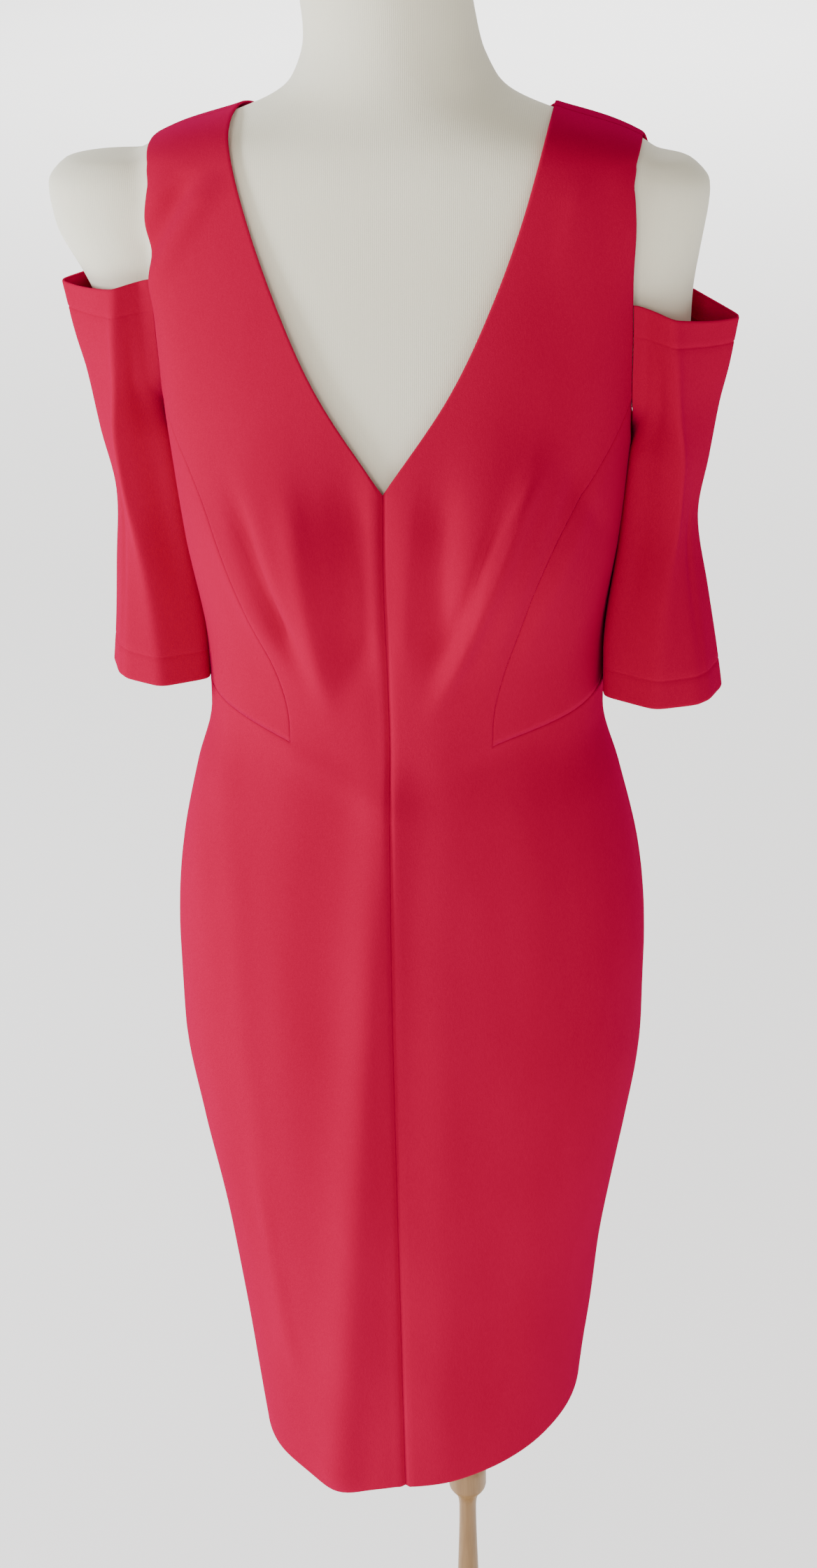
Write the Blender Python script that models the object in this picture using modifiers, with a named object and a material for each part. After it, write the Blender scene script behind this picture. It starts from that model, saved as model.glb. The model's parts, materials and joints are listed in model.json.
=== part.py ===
"""Cold shoulder midi dress on a limbless dress form with a turned wooden post and round base.

Metres, +Z up, floor at z = 0, the dress's own axis on x = y = 0. The dress faces -Y, so the
wearer's left is +X. The dress is cut in eight pieces. Each is a thin wall laid on one smooth
body surface, given by level sections, and the form is the same surface drawn in.
"""

import math

import bmesh
import bpy
import numpy as np

COLLECTION = "cold_shoulder_dress"

CLOTH = 0.0015
SEAM_GAP = 0.0003
SEAT_GAP = 0.0003
SLEEVE_SEAT = 0.0005
SLEEVE_OFF_BODY = 0.0035

# Level sections of the inside of the dress and, above its edges, of the form.
# height, half width at the side, depth in front, depth behind, squareness
BODY = np.array([
    (0.380, 0.1235, 0.113, 0.111, 2.15),
    (0.480, 0.1330, 0.117, 0.118, 2.15),
    (0.580, 0.1430, 0.119, 0.122, 2.20),
    (0.680, 0.1585, 0.121, 0.126, 2.20),
    (0.760, 0.1675, 0.121, 0.128, 2.20),
    (0.820, 0.1675, 0.119, 0.126, 2.20),
    (0.900, 0.1605, 0.112, 0.112, 2.20),
    (0.960, 0.1470, 0.105, 0.098, 2.15),
    (1.010, 0.1340, 0.100, 0.090, 2.10),
    (1.060, 0.1335, 0.103, 0.092, 2.15),
    (1.140, 0.143, 0.110, 0.098, 2.30),
    (1.200, 0.149, 0.104, 0.102, 2.40),
    (1.260, 0.155, 0.095, 0.103, 2.50),
    (1.310, 0.162, 0.085, 0.100, 2.50),
    (1.350, 0.168, 0.077, 0.096, 2.50),
    (1.379, 0.162, 0.071, 0.090, 2.40),
    (1.393, 0.139, 0.067, 0.082, 2.30),
    (1.4045, 0.101, 0.062, 0.072, 2.20),
    (1.416, 0.074, 0.057, 0.062, 2.10),
    (1.435, 0.059, 0.052, 0.055, 2.00),
    (1.460, 0.054, 0.050, 0.052, 2.00),
    (1.500, 0.053, 0.051, 0.053, 2.00),
])
BUST_OUT, BUST_X, BUST_HEIGHT = 0.020, 0.080, 1.145
BUST_WIDE, BUST_TALL = 0.052, 0.058

# Where the pieces meet. Angles run round the body from 0 at centre front to 180 at centre back.
# height, half of the opening's width
NECKLINE = np.array([
    (1.193, 0.000),
    (1.255, 0.042),
    (1.306, 0.066),
    (1.350, 0.082),
    (1.378, 0.090),
    (1.3975, 0.095),
])
BACK_NECKLINE = np.array([
    (1.352, 0.000),
    (1.356, 0.034),
    (1.368, 0.062),
    (1.385, 0.083),
    (1.3985, 0.095),
])
CREST_NECK, CREST_TIP = 0.097, 0.151
# height, angle of the front edge, angle of the back edge
ARMHOLE = np.array([
    (1.195, 90.0, 90.0),
    (1.205, 84.0, 97.0),
    (1.235, 78.0, 104.0),
    (1.280, 74.5, 107.0),
    (1.330, 73.0, 108.0),
    (1.365, 73.5, 107.0),
    (1.378, 76.0, 104.0),
])
# height, distance of the princess seam from the middle
PRINCESS = np.array([
    (1.016, 0.066),
    (1.040, 0.067),
    (1.070, 0.074),
    (1.092, 0.082),
    (1.130, 0.095),
    (1.169, 0.112),
    (1.200, 0.130),
])
UNDERARM = 1.195
PRINCESS_TOP = 1.235
V_BOTTOM = 1.193
CENTRE_WAIST = 1.010
CORNER_WAIST = 1.016
SIDE_WAIST = 1.034
BACK_WAIST = 1.025
WAIST_BEND = 0.7
# The hem hangs lower on the wearer's right and rides up towards the left side.
HEM, HEM_TILT = 0.392, 0.120
HEM_LIFT, HEM_LIFT_REACH = 0.016, 0.120

# Rows and columns of the panels' nets. Pieces that share a seam share its points.
STRAP_ROWS, BODICE_ROWS, SKIRT_ROWS = 10, 7, 15
STRAP_COLUMNS, SIDE_COLUMNS, BACK_COLUMNS = 6, 4, 9
BACK_NECK_ROWS = 7
CREST_SPACING = 2.0
SKIRT_EASE_ROWS = 4

# Soft troughs (depth below 0) and ridges (above 0) pressed or pulled into the cloth.
# x and height of one end, x and height of the other, depth, half width
FRONT_CREASES = np.array([
    (-0.087, 1.162, -0.069, 1.103, -0.0036, 0.007),
    (-0.061, 1.172, -0.050, 1.076, 0.0030, 0.009),
    (-0.020, 1.178, -0.024, 1.092, -0.0044, 0.014),
    (-0.006, 1.176, -0.006, 1.100, 0.0010, 0.006),
    (0.017, 1.172, 0.015, 1.110, 0.0008, 0.008),
    (0.036, 1.176, 0.033, 1.093, -0.0036, 0.011),
    (0.096, 1.194, 0.056, 1.073, 0.0048, 0.008),
    (0.077, 1.168, 0.058, 1.112, -0.0036, 0.007),
    (0.112, 1.180, 0.084, 1.100, -0.0022, 0.008),
    (-0.043, 1.050, -0.040, 0.400, 0.0042, 0.019),
    (0.000, 1.060, 0.000, 0.400, -0.0008, 0.012),
    (0.030, 1.000, 0.034, 0.420, 0.0014, 0.018),
    (-0.112, 0.960, -0.092, 0.520, 0.0016, 0.012),
    (-0.110, 1.388, -0.126, 1.330, 0.0014, 0.008),
    (-0.123, 1.382, -0.140, 1.340, -0.0014, 0.008),
])
BACK_CREASES = np.array([
    (-0.090, 1.060, -0.030, 1.020, -0.0024, 0.010),
    (0.094, 1.050, 0.026, 1.000, -0.0026, 0.011),
    (-0.070, 0.990, -0.012, 0.965, -0.0018, 0.010),
    (0.060, 1.120, 0.034, 1.060, 0.0022, 0.012),
    (-0.064, 1.130, -0.030, 1.070, 0.0020, 0.012),
    (-0.050, 0.800, -0.042, 0.400, 0.0022, 0.022),
    (0.040, 0.790, 0.046, 0.400, -0.0020, 0.020),
])
CREASE_FADE = 0.030
# The creases die out before the side line and the shoulder seam, where two pieces meet.
SIDE_FADE_ANGLE, CREST_FADE = 25.0, 0.030

# Where the cloth of a sleeve turns, seen from above: in front, at the outer fold and behind.
# height, x and y in front, x and y of the outer fold, x and y behind
SLEEVE = np.array([
    (1.0310, 0.166, -0.0500, 0.2115, -0.002, 0.180, 0.052),
    (1.0550, 0.167, -0.0480, 0.2080, -0.002, 0.177, 0.051),
    (1.1050, 0.172, -0.0420, 0.2010, -0.003, 0.176, 0.046),
    (1.1550, 0.181, -0.0325, 0.1945, -0.003, 0.178, 0.040),
    (1.1950, 0.183, -0.0360, 0.2005, -0.004, 0.184, 0.037),
    (1.2350, 0.169, -0.0400, 0.2070, -0.006, 0.184, 0.037),
    (1.2620, 0.160, -0.0430, 0.2120, -0.010, 0.186, 0.037),
    (1.3025, 0.156, -0.0455, 0.2175, -0.014, 0.188, 0.034),
])
# The inner side is nearly flat; it turns towards the front and back at this share of their depth.
SLEEVE_INNER_SHARE, SLEEVE_SEAM_SHARE = 0.62, 0.35
SLEEVE_FRONT_LEAN, SLEEVE_BACK_LEAN = -0.0015, -0.0045
# Towards the cuff the cloth rounds out between the front turn and the outer fold.
CUFF_ROUND, CUFF_ROUND_TO = 0.014, 1.150
# The open top edge is lower at the outer fold, and the wearer's left sleeve hangs lower.
RIM_DROP, RIM_DROP_FROM = 0.011, 1.235
RIM_TILT, CUFF_TILT = 0.045, 0.020
SLEEVE_ROWS = 12
SLEEVE_RUN, SLEEVE_STEP, SLEEVE_SOFTENING = 12, 3, 4

# The form inside the dress.
CLEAR_AT_CREST, CLEAR_SHOULDER, CLEAR_BELOW = 0.0006, 0.0030, 0.0062
CREST_LEVEL, CLEAR_LEVEL = 1.378, 1.300
CREST_SPREAD = 9.0
FORM_BOTTOM, FORM_TOP = 0.745, 1.500
FORM_RING = 36
# The form's neck leans a little towards the wearer's right.
NECK_LEAN, NECK_LEAN_FROM = -0.011, 1.420
# Shoulder caps: height, middle in x, half width, half depth.
CAP = np.array([
    (1.222, 0.150, 0.010, 0.012),
    (1.232, 0.151, 0.021, 0.023),
    (1.255, 0.153, 0.030, 0.030),
    (1.300, 0.155, 0.039, 0.034),
    (1.340, 0.158, 0.046, 0.037),
    (1.360, 0.159, 0.047, 0.036),
    (1.371, 0.159, 0.040, 0.031),
    (1.3785, 0.160, 0.024, 0.020),
    (1.3800, 0.160, 0.012, 0.010),
])
# How much further out a cap reaches above the sleeve, because the form stands a little to one side:
# height, on the wearer's left, on the wearer's right
CAP_REACH = np.array([
    (1.255, 0.0, 0.0),
    (1.300, -0.008, 0.004),
    (1.340, -0.012, 0.0085),
    (1.360, -0.012, 0.0065),
])
CAP_RING = 20

# The stand. The post is a little to the wearer's left of the middle, where it shows under the hem.
PLATE_THICK, PLATE_INSET, PLATE_ROUND = 0.012, 0.004, 0.003
POST_X = 0.038
# height, radius
POST = np.array([
    (0.0283, 0.0240),
    (0.0400, 0.0235),
    (0.0520, 0.0150),
    (0.0800, 0.0120),
    (0.1400, 0.0105),
    (0.2000, 0.0085),
    (0.2620, 0.0071),
    (0.2780, 0.0092),
    (0.2900, 0.0155),
    (0.3060, 0.0155),
    (0.3180, 0.0125),
    (0.3400, 0.0125),
])
POST_ROWS, POST_STEPS = 26, 20
# Outline of the round base from the middle of its top to the middle of its underside: radius, height.
BASE = [
    (0.0000, 0.0280),
    (0.0500, 0.0280),
    (0.0640, 0.0230),
    (0.1360, 0.0200),
    (0.1460, 0.0150),
    (0.1500, 0.0080),
    (0.1480, 0.0000),
    (0.0000, 0.0000),
]
BASE_STEPS = 40

RED = (0.62, 0.025, 0.075)
CREAM = (0.72, 0.70, 0.60)
OAK = (0.46, 0.26, 0.12)


def start_empty():
    for thing in list(bpy.data.objects):
        bpy.data.objects.remove(thing, do_unlink=True)
    collection = bpy.data.collections.new(COLLECTION)
    bpy.context.scene.collection.children.link(collection)
    return collection


def material(name, colour, roughness, metallic=0.0):
    made = bpy.data.materials.new(name)
    made.use_nodes = True
    shader = made.node_tree.nodes["Principled BSDF"]
    shader.inputs["Base Color"].default_value = (*colour, 1.0)
    shader.inputs["Roughness"].default_value = roughness
    shader.inputs["Metallic"].default_value = metallic
    return made


def read_smooth(table, at):
    """Read a table's columns at one value of its first column, on a smooth curve with no overshoot."""
    keys, rows = table[:, 0], table[:, 1:]
    at = min(max(at, keys[0]), keys[-1])
    k = min(int(np.searchsorted(keys, at, side="right")) - 1, len(keys) - 2)
    span = keys[k + 1] - keys[k]
    slopes = []
    for i in (k, k + 1):
        if i in (0, len(keys) - 1):
            j = min(i, len(keys) - 2)
            slopes.append((rows[j + 1] - rows[j]) / (keys[j + 1] - keys[j]) * span)
            continue
        before = (rows[i] - rows[i - 1]) / (keys[i] - keys[i - 1])
        after = (rows[i + 1] - rows[i]) / (keys[i + 1] - keys[i])
        wide_before, wide_after = keys[i] - keys[i - 1], keys[i + 1] - keys[i]
        middle = (before * wide_after + after * wide_before) / (wide_before + wide_after)
        limit = 3.0 * np.minimum(abs(before), abs(after))
        slopes.append(np.where(before * after <= 0, 0.0, np.clip(middle, -limit, limit)) * span)
    s = (at - keys[k]) / span
    return ((2 * s**3 - 3 * s**2 + 1) * rows[k] + (s**3 - 2 * s**2 + s) * slopes[0]
            + (3 * s**2 - 2 * s**3) * rows[k + 1] + (s**3 - s**2) * slopes[1])


def skin(angle, height):
    """A point of the body surface; the angle is in degrees from centre front, + to the wearer's left."""
    half_width, front, back, square = read_smooth(BODY, height)
    sine, cosine = math.sin(math.radians(angle)), math.cos(math.radians(angle))
    depth = front if cosine > 0 else back
    reach = ((abs(sine) / half_width)**square + (abs(cosine) / depth)**square)**(-1 / square)
    x, y = reach * sine, -reach * cosine
    if cosine > 0:
        across = sum(math.exp(-((x - middle) / BUST_WIDE)**2) for middle in (-BUST_X, BUST_X))
        along = math.exp(-((height - BUST_HEIGHT) / BUST_TALL)**2)
        y -= BUST_OUT * across * along * math.sqrt(cosine)
    return np.array([x, y, height])


def outward(angle, height):
    """The surface's unit normal, away from the body."""
    step_angle, step_height = 0.5, 0.0005
    along = skin(angle + step_angle, height) - skin(angle - step_angle, height)
    up = skin(angle, height + step_height) - skin(angle, height - step_height)
    normal = np.cross(along, up)
    return normal / np.linalg.norm(normal)


def lifted(angle, height, lift):
    return skin(angle, height) + outward(angle, height) * lift


def angle_at(x, height, behind=False):
    """The angle, 0 to 180, at which the section at this height reaches x."""
    half_width, front, back, square = read_smooth(BODY, height)
    share = min(abs(x) / half_width, 1.0)
    depth = (1 - share**square)**(1 / square) * (back if behind else front)
    angle = math.degrees(math.atan2(abs(x), depth))
    return 180.0 - angle if behind else angle


def crest_height(x):
    """The height at which the shoulder slope is x wide."""
    low, high = 1.370, 1.416
    for _ in range(40):
        middle = (low + high) / 2
        if read_smooth(BODY, middle)[0] > x:
            low = middle
        else:
            high = middle
    return (low + high) / 2


def crease_lift(x, height, creases):
    """How far the creases move the cloth outward at a point."""
    total = 0.0
    for x0, z0, x1, z1, depth, spread in creases:
        run = np.array([x1 - x0, z1 - z0])
        length = np.linalg.norm(run)
        here = np.array([x - x0, height - z0])
        along = here @ run / length
        aside = (here[0] * run[1] - here[1] * run[0]) / length
        past = max(-along, along - length, 0.0)
        total += depth * math.exp(-(aside / spread)**2 - (past / CREASE_FADE)**2)
    return total


def on_dress(angle, height, side):
    """A point of the cloth's inner face, creases included, on one side of the body."""
    base = skin(angle * side, height)
    creases = FRONT_CREASES if angle < 90 else BACK_CREASES
    fade = min(abs(angle - 90) / SIDE_FADE_ANGLE, 1.0)
    fade *= min(max((CREST_LEVEL - height) / CREST_FADE, 0.0), 1.0)
    return base + outward(angle * side, height) * crease_lift(base[0], height, creases) * fade


def between(a, b, count):
    return [a + (b - a) * k / (count - 1) for k in range(count)]


def strap_heights(crest, end):
    """Heights from the shoulder seam down, closer together where the shoulder lies flat."""
    return [crest + (end - crest) * (k / STRAP_ROWS)**CREST_SPACING for k in range(STRAP_ROWS)]


def hem_height(x):
    return HEM + HEM_TILT * x + HEM_LIFT * (max(x, 0.0) / HEM_LIFT_REACH)**2


def side_heights():
    return between(UNDERARM, SIDE_WAIST, BODICE_ROWS + 1)


def princess_points():
    """(angle, height) down the princess seam, from the armhole to the corner."""
    points = []
    for height in between(PRINCESS_TOP, CORNER_WAIST, BODICE_ROWS + 1):
        if height == PRINCESS_TOP:
            points.append((read_smooth(ARMHOLE, height)[0], height))
            continue
        if height > PRINCESS[-1, 0]:
            share = (height - PRINCESS[-1, 0]) / (PRINCESS_TOP - PRINCESS[-1, 0])
            low = angle_at(PRINCESS[-1, 1], PRINCESS[-1, 0])
            points.append((low + (read_smooth(ARMHOLE, PRINCESS_TOP)[0] - low) * share, height))
            continue
        points.append((angle_at(read_smooth(PRINCESS, height)[0], height), height))
    return points


def waist_seam_points():
    """(angle, height) from the corner to the side seam."""
    start = princess_points()[-1][0]
    shares = between(0.0, 1.0, SIDE_COLUMNS + 1)
    rise = SIDE_WAIST - CORNER_WAIST
    return [(start + (90 - start) * s, CORNER_WAIST + rise * s**WAIST_BEND) for s in shares]


def front_rows():
    inner, outer = [], []
    crest_in, crest_out = crest_height(CREST_NECK), crest_height(CREST_TIP)
    for k, height in enumerate(strap_heights(crest_in, V_BOTTOM)):
        inner.append((90.0 if k == 0 else angle_at(read_smooth(NECKLINE, height)[0], height), height))
    for k, height in enumerate(strap_heights(crest_out, PRINCESS_TOP)):
        outer.append((90.0 if k == 0 else read_smooth(ARMHOLE, height)[0], height))
    inner += [(0.0, height) for height in between(V_BOTTOM, CENTRE_WAIST, BODICE_ROWS + 1)]
    outer += princess_points()
    rows = []
    for (angle_in, z_in), (angle_out, z_out) in zip(inner, outer):
        shares = between(0.0, 1.0, STRAP_COLUMNS + 1)
        rows.append([(angle_in + (angle_out - angle_in) * s, z_in + (z_out - z_in) * s) for s in shares])
    waist = rows[-1] + waist_seam_points()[1:]
    rows[-1] = waist
    for k in range(1, SKIRT_ROWS + 1):
        rows.append([(angle, height, k / SKIRT_ROWS) for angle, height in spread_to_skirt(waist, k)])
    return rows


def spread_to_skirt(waist, k):
    """The waist row's angles eased towards even ones as the skirt goes down."""
    even = between(0.0, 90.0, len(waist))
    ease = min(k / SKIRT_EASE_ROWS, 1.0)
    return [(angle + (goal - angle) * ease, height) for (angle, height), goal in zip(waist, even)]


def side_front_rows():
    inner = princess_points()
    outer = [(90.0, height) for height in side_heights()]
    rows = []
    for (angle_in, z_in), (angle_out, z_out) in zip(inner, outer):
        shares = between(0.0, 1.0, SIDE_COLUMNS + 1)
        rows.append([(angle_in + (angle_out - angle_in) * s, z_in + (z_out - z_in) * s) for s in shares])
    heights = between(PRINCESS_TOP, UNDERARM, SIDE_COLUMNS + 1)
    rows[0] = [(read_smooth(ARMHOLE, height)[0], height) for height in heights]
    rows[-1] = waist_seam_points()
    return rows


def back_rows():
    inner, outer = [], []
    crest_in, crest_out = crest_height(CREST_NECK), crest_height(CREST_TIP)
    neck_low = BACK_NECKLINE[0, 0]
    for k in range(BACK_NECK_ROWS):
        height = crest_in + (neck_low - crest_in) * (k / BACK_NECK_ROWS)**CREST_SPACING
        x = read_smooth(BACK_NECKLINE, height)[0]
        inner.append((90.0 if k == 0 else angle_at(x, height, behind=True), height))
    inner += [(180.0, height) for height in between(neck_low, UNDERARM, STRAP_ROWS - BACK_NECK_ROWS + 1)]
    for k, height in enumerate(strap_heights(crest_out, UNDERARM)):
        outer.append((90.0 if k == 0 else read_smooth(ARMHOLE, height)[1], height))
    outer.append((90.0, UNDERARM))
    inner += [(180.0, height) for height in between(UNDERARM, BACK_WAIST, BODICE_ROWS + 1)[1:]]
    outer += [(90.0, height) for height in side_heights()[1:]]
    rows = []
    for (angle_in, z_in), (angle_out, z_out) in zip(inner, outer):
        shares = between(0.0, 1.0, BACK_COLUMNS + 1)
        rows.append([(angle_out + (angle_in - angle_out) * s, z_out + (z_in - z_out) * s) for s in shares])
    waist = rows[-1]
    for k in range(1, SKIRT_ROWS + 1):
        rows.append([(angle, height, k / SKIRT_ROWS) for angle, height in waist])
    return rows


def placed(point, side):
    """World position of a net point; a third value is its share of the way from waist to hem."""
    angle, height = point[0], point[1]
    if len(point) == 3:
        end = hem_height(skin(angle * side, HEM)[0])
        height += (end - height) * point[2]
    return on_dress(angle, height, side)


def net_mesh(name, rows, closed_below=None):
    """Faces between rows of points; a row longer than the one above keeps its extra points at the end."""
    shape = bmesh.new()
    knots = [[shape.verts.new(point) for point in row] for row in rows]
    for upper, lower in zip(knots, knots[1:]):
        for j in range(min(len(upper), len(lower)) - 1):
            shape.faces.new((upper[j], lower[j], lower[j + 1], upper[j + 1]))
    if closed_below is not None:
        for k in range(closed_below, len(knots)):
            bmesh.ops.weld_verts(shape, targetmap={knots[k][-1]: knots[k][0]})
    bmesh.ops.recalc_face_normals(shape, faces=shape.faces)
    mesh = bpy.data.meshes.new(name)
    shape.to_mesh(mesh)
    shape.free()
    return mesh


def trim_edges(mesh, width):
    """Draw every free edge in by a width, so that neighbouring pieces keep their gap."""
    shape = bmesh.new()
    shape.from_mesh(mesh)
    strip = bmesh.ops.inset_region(shape, faces=shape.faces[:], thickness=width,
                                   use_boundary=True, use_even_offset=True)["faces"]
    bmesh.ops.delete(shape, geom=strip, context="FACES")
    shape.to_mesh(mesh)
    shape.free()


def faces_away(mesh, inside):
    """True when the mesh's faces look away from a point function of height."""
    score = 0.0
    for face in mesh.polygons:
        away = np.array(face.center) - inside(face.center)
        score += face.area * float(np.array(face.normal) @ away)
    return score > 0


def add_cloth(collection, name, rows, finish, inside, outward_wall=True, closed_below=None):
    mesh = net_mesh(name, rows, closed_below)
    trim_edges(mesh, SEAM_GAP / 2)
    if not faces_away(mesh, inside):
        mesh.flip_normals()
    piece = bpy.data.objects.new(name, mesh)
    collection.objects.link(piece)
    mesh.materials.append(finish)
    mesh.shade_smooth()
    wall = piece.modifiers.new("cloth thickness", "SOLIDIFY")
    wall.thickness = CLOTH
    wall.offset = 1.0 if outward_wall else -1.0
    wall.use_even_offset = False
    return piece


def axis_point(centre):
    return np.array([0.0, 0.0, centre[2]])


def softened(knots):
    """Points along the straight runs between knots, with the turns rounded and the ends kept."""
    shares = np.arange(SLEEVE_RUN)[:, None] / SLEEVE_RUN
    runs = [start + (end - start) * shares for start, end in zip(knots, knots[1:])]
    line = np.vstack(runs + [knots[-1]])
    for _ in range(SLEEVE_SOFTENING):
        line[1:-1] = (line[:-2] + 2 * line[1:-1] + line[2:]) / 4
    return line[::SLEEVE_STEP]


def sleeve_knots(height):
    """Where the wearer's left sleeve turns at a height, seen from above, from its front seam round."""
    front_x, front_y, fold_x, fold_y, back_x, back_y = read_smooth(SLEEVE, height)
    front, fold, back = np.array([front_x, front_y]), np.array([fold_x, fold_y]), np.array([back_x, back_y])
    run = front - fold
    across = np.array([-run[1], run[0]]) / math.hypot(*run)
    swell = min(max((CUFF_ROUND_TO - height) / (CUFF_ROUND_TO - SLEEVE[0, 0]), 0.0), 1.0)
    corner = (fold + front) / 2 + across * CUFF_ROUND * swell * swell * (3 - 2 * swell)
    if height > UNDERARM:
        seam_lift = CLOTH + SLEEVE_SEAT
        angles = read_smooth(ARMHOLE, height)
        front_seam, back_seam = [lifted(angle, height, seam_lift)[:2] for angle in angles]
        near_front = front_seam + (front - front_seam) * SLEEVE_SEAM_SHARE
        near_back = back_seam + (back - back_seam) * SLEEVE_SEAM_SHARE
        return [front_seam, near_front, front, corner, fold, back, near_back, back_seam]
    inner = read_smooth(BODY, height)[0] + CLOTH + SLEEVE_OFF_BODY
    near_front = np.array([inner + SLEEVE_FRONT_LEAN, front_y * SLEEVE_INNER_SHARE])
    near_back = np.array([inner + SLEEVE_BACK_LEAN, back_y * SLEEVE_INNER_SHARE])
    middle = np.array([inner, 0.0])
    return [middle, near_front, front, corner, fold, back, near_back, middle]


def sleeve_rows(side):
    """Rows round the sleeve from its open top edge down to the cuff, and the first closed one."""
    heights = between(SLEEVE[-1, 0], SLEEVE[0, 0], SLEEVE_ROWS + 1)
    closed_from = min(range(len(heights)), key=lambda k: abs(heights[k] - UNDERARM))
    heights[closed_from] = UNDERARM
    rows = []
    for height in heights:
        ring = softened(sleeve_knots(height))
        rim = max((height - RIM_DROP_FROM) / (SLEEVE[-1, 0] - RIM_DROP_FROM), 0.0)
        tilt = CUFF_TILT + (RIM_TILT - CUFF_TILT) * (height - heights[-1]) / (heights[0] - heights[-1])
        row = []
        for k, (x, y) in enumerate(ring):
            drop = RIM_DROP * rim * math.sin(math.pi * k / (len(ring) - 1))**2
            row.append(np.array([x * side, y, height - drop - tilt * x * side]))
        rows.append(row)
    return rows, closed_from


def sleeve_axis(side):
    """A line inside the sleeve, half way between its inner side and its outer fold."""
    inner, _, _, _, outer, *_ = sleeve_knots(SLEEVE[0, 0])
    middle = (inner[0] + outer[0]) / 2 * side
    return lambda centre: np.array([middle, 0.0, centre[2]])


def clearance(angle, height):
    """How far the form lies inside the dress: close at the shoulder seam, where the dress hangs on it."""
    share = min(max((height - CLEAR_LEVEL) / (CREST_LEVEL - CLEAR_LEVEL), 0.0), 1.0)
    usual = CLEAR_BELOW + (CLEAR_SHOULDER - CLEAR_BELOW) * share
    near_seam = math.exp(-((abs(angle) - 90.0) / CREST_SPREAD)**2) * share
    return usual + (CLEAR_AT_CREST - usual) * near_seam


def closed_rings(name, rings):
    """A solid through closed rings of points, capped with a fan at both ends."""
    shape = bmesh.new()
    knots = [[shape.verts.new(point) for point in ring] for ring in rings]
    count = len(knots[0])
    for lower, upper in zip(knots, knots[1:]):
        for j in range(count):
            shape.faces.new((lower[j], lower[(j + 1) % count], upper[(j + 1) % count], upper[j]))
    for ring in (knots[0], knots[-1]):
        centre = shape.verts.new(np.mean([knot.co for knot in ring], axis=0))
        for j in range(count):
            shape.faces.new((ring[j], ring[(j + 1) % count], centre))
    bmesh.ops.recalc_face_normals(shape, faces=shape.faces)
    mesh = bpy.data.meshes.new(name)
    shape.to_mesh(mesh)
    shape.free()
    return mesh


def add_solid(collection, name, mesh, finish):
    solid = bpy.data.objects.new(name, mesh)
    collection.objects.link(solid)
    mesh.materials.append(finish)
    mesh.shade_smooth()
    return solid


def form_ring(height, extra=0.0):
    turns = [360.0 * k / FORM_RING - 180.0 for k in range(FORM_RING)]
    bend = max((height - NECK_LEAN_FROM) / (FORM_TOP - NECK_LEAN_FROM), 0.0)**2
    lean = np.array([NECK_LEAN * bend, 0.0, 0.0])
    return [lifted(turn, height, -clearance(turn, height) - extra) + lean for turn in turns]


def add_form(collection, cutters, finish):
    heights = between(FORM_BOTTOM, 1.300, 15) + [1.325, 1.350, 1.366]
    heights += between(1.376, 1.416, 10) + [1.425, 1.435, 1.450, FORM_TOP]
    torso = add_solid(collection, "form_torso",
                      closed_rings("form_torso", [form_ring(z) for z in heights]), finish)
    for side, name in ((1, "left_cap"), (-1, "right_cap")):
        rings = []
        for height, middle, half_width, half_depth in CAP:
            turns = [math.tau * k / CAP_RING for k in range(CAP_RING)]
            reach = read_smooth(CAP_REACH, height)[0 if side == 1 else 1]
            wide, centre = half_width + reach / 2, side * (middle + reach / 2)
            rings.append([(centre + wide * math.sin(t), half_depth * math.cos(t), height) for t in turns])
        cap = add_solid(cutters, name, closed_rings(name, rings), finish)
        cap.hide_render = True
        cap.display_type = "WIRE"
        joined = torso.modifiers.new(name, "BOOLEAN")
        joined.operation = "UNION"
        joined.object = cap


def add_base_plate(collection, finish):
    low, high = FORM_BOTTOM - SEAT_GAP - PLATE_THICK, FORM_BOTTOM - SEAT_GAP
    steps = [(low, PLATE_INSET + PLATE_ROUND), (low + PLATE_ROUND, PLATE_INSET),
             (high - PLATE_ROUND, PLATE_INSET), (high, PLATE_INSET + PLATE_ROUND)]
    rings = []
    for height, draw in steps:
        ring = [np.array(point) for point in form_ring(FORM_BOTTOM, draw)]
        for point in ring:
            point[2] = height
        rings.append(ring)
    add_solid(collection, "base_plate", closed_rings("base_plate", rings), finish)


def add_turned(collection, name, outline, steps, finish):
    """A turned piece: its outline of (radius, height), from its top down, spun about the post's axis."""
    mesh = bpy.data.meshes.new(name)
    edges = [(k, k + 1) for k in range(len(outline) - 1)]
    mesh.from_pydata([(radius, 0.0, height) for radius, height in outline], edges, [])
    turned = bpy.data.objects.new(name, mesh)
    turned.location = (POST_X, 0.0, 0.0)
    collection.objects.link(turned)
    mesh.materials.append(finish)
    spin = turned.modifiers.new("turning", "SCREW")
    spin.steps = spin.render_steps = steps
    spin.use_merge_vertices = True
    spin.merge_threshold = 0.00005
    spin.use_smooth_shade = True
    return turned


def post_outline():
    top = FORM_BOTTOM - PLATE_THICK - 2 * SEAT_GAP
    heights = between(POST[0, 0], POST[-1, 0], POST_ROWS)
    outline = [(float(read_smooth(POST, height)[0]), height) for height in heights]
    outline.append((float(POST[-1, 1]), top))
    return [(0.0, top)] + outline[::-1] + [(0.0, POST[0, 0])]


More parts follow.
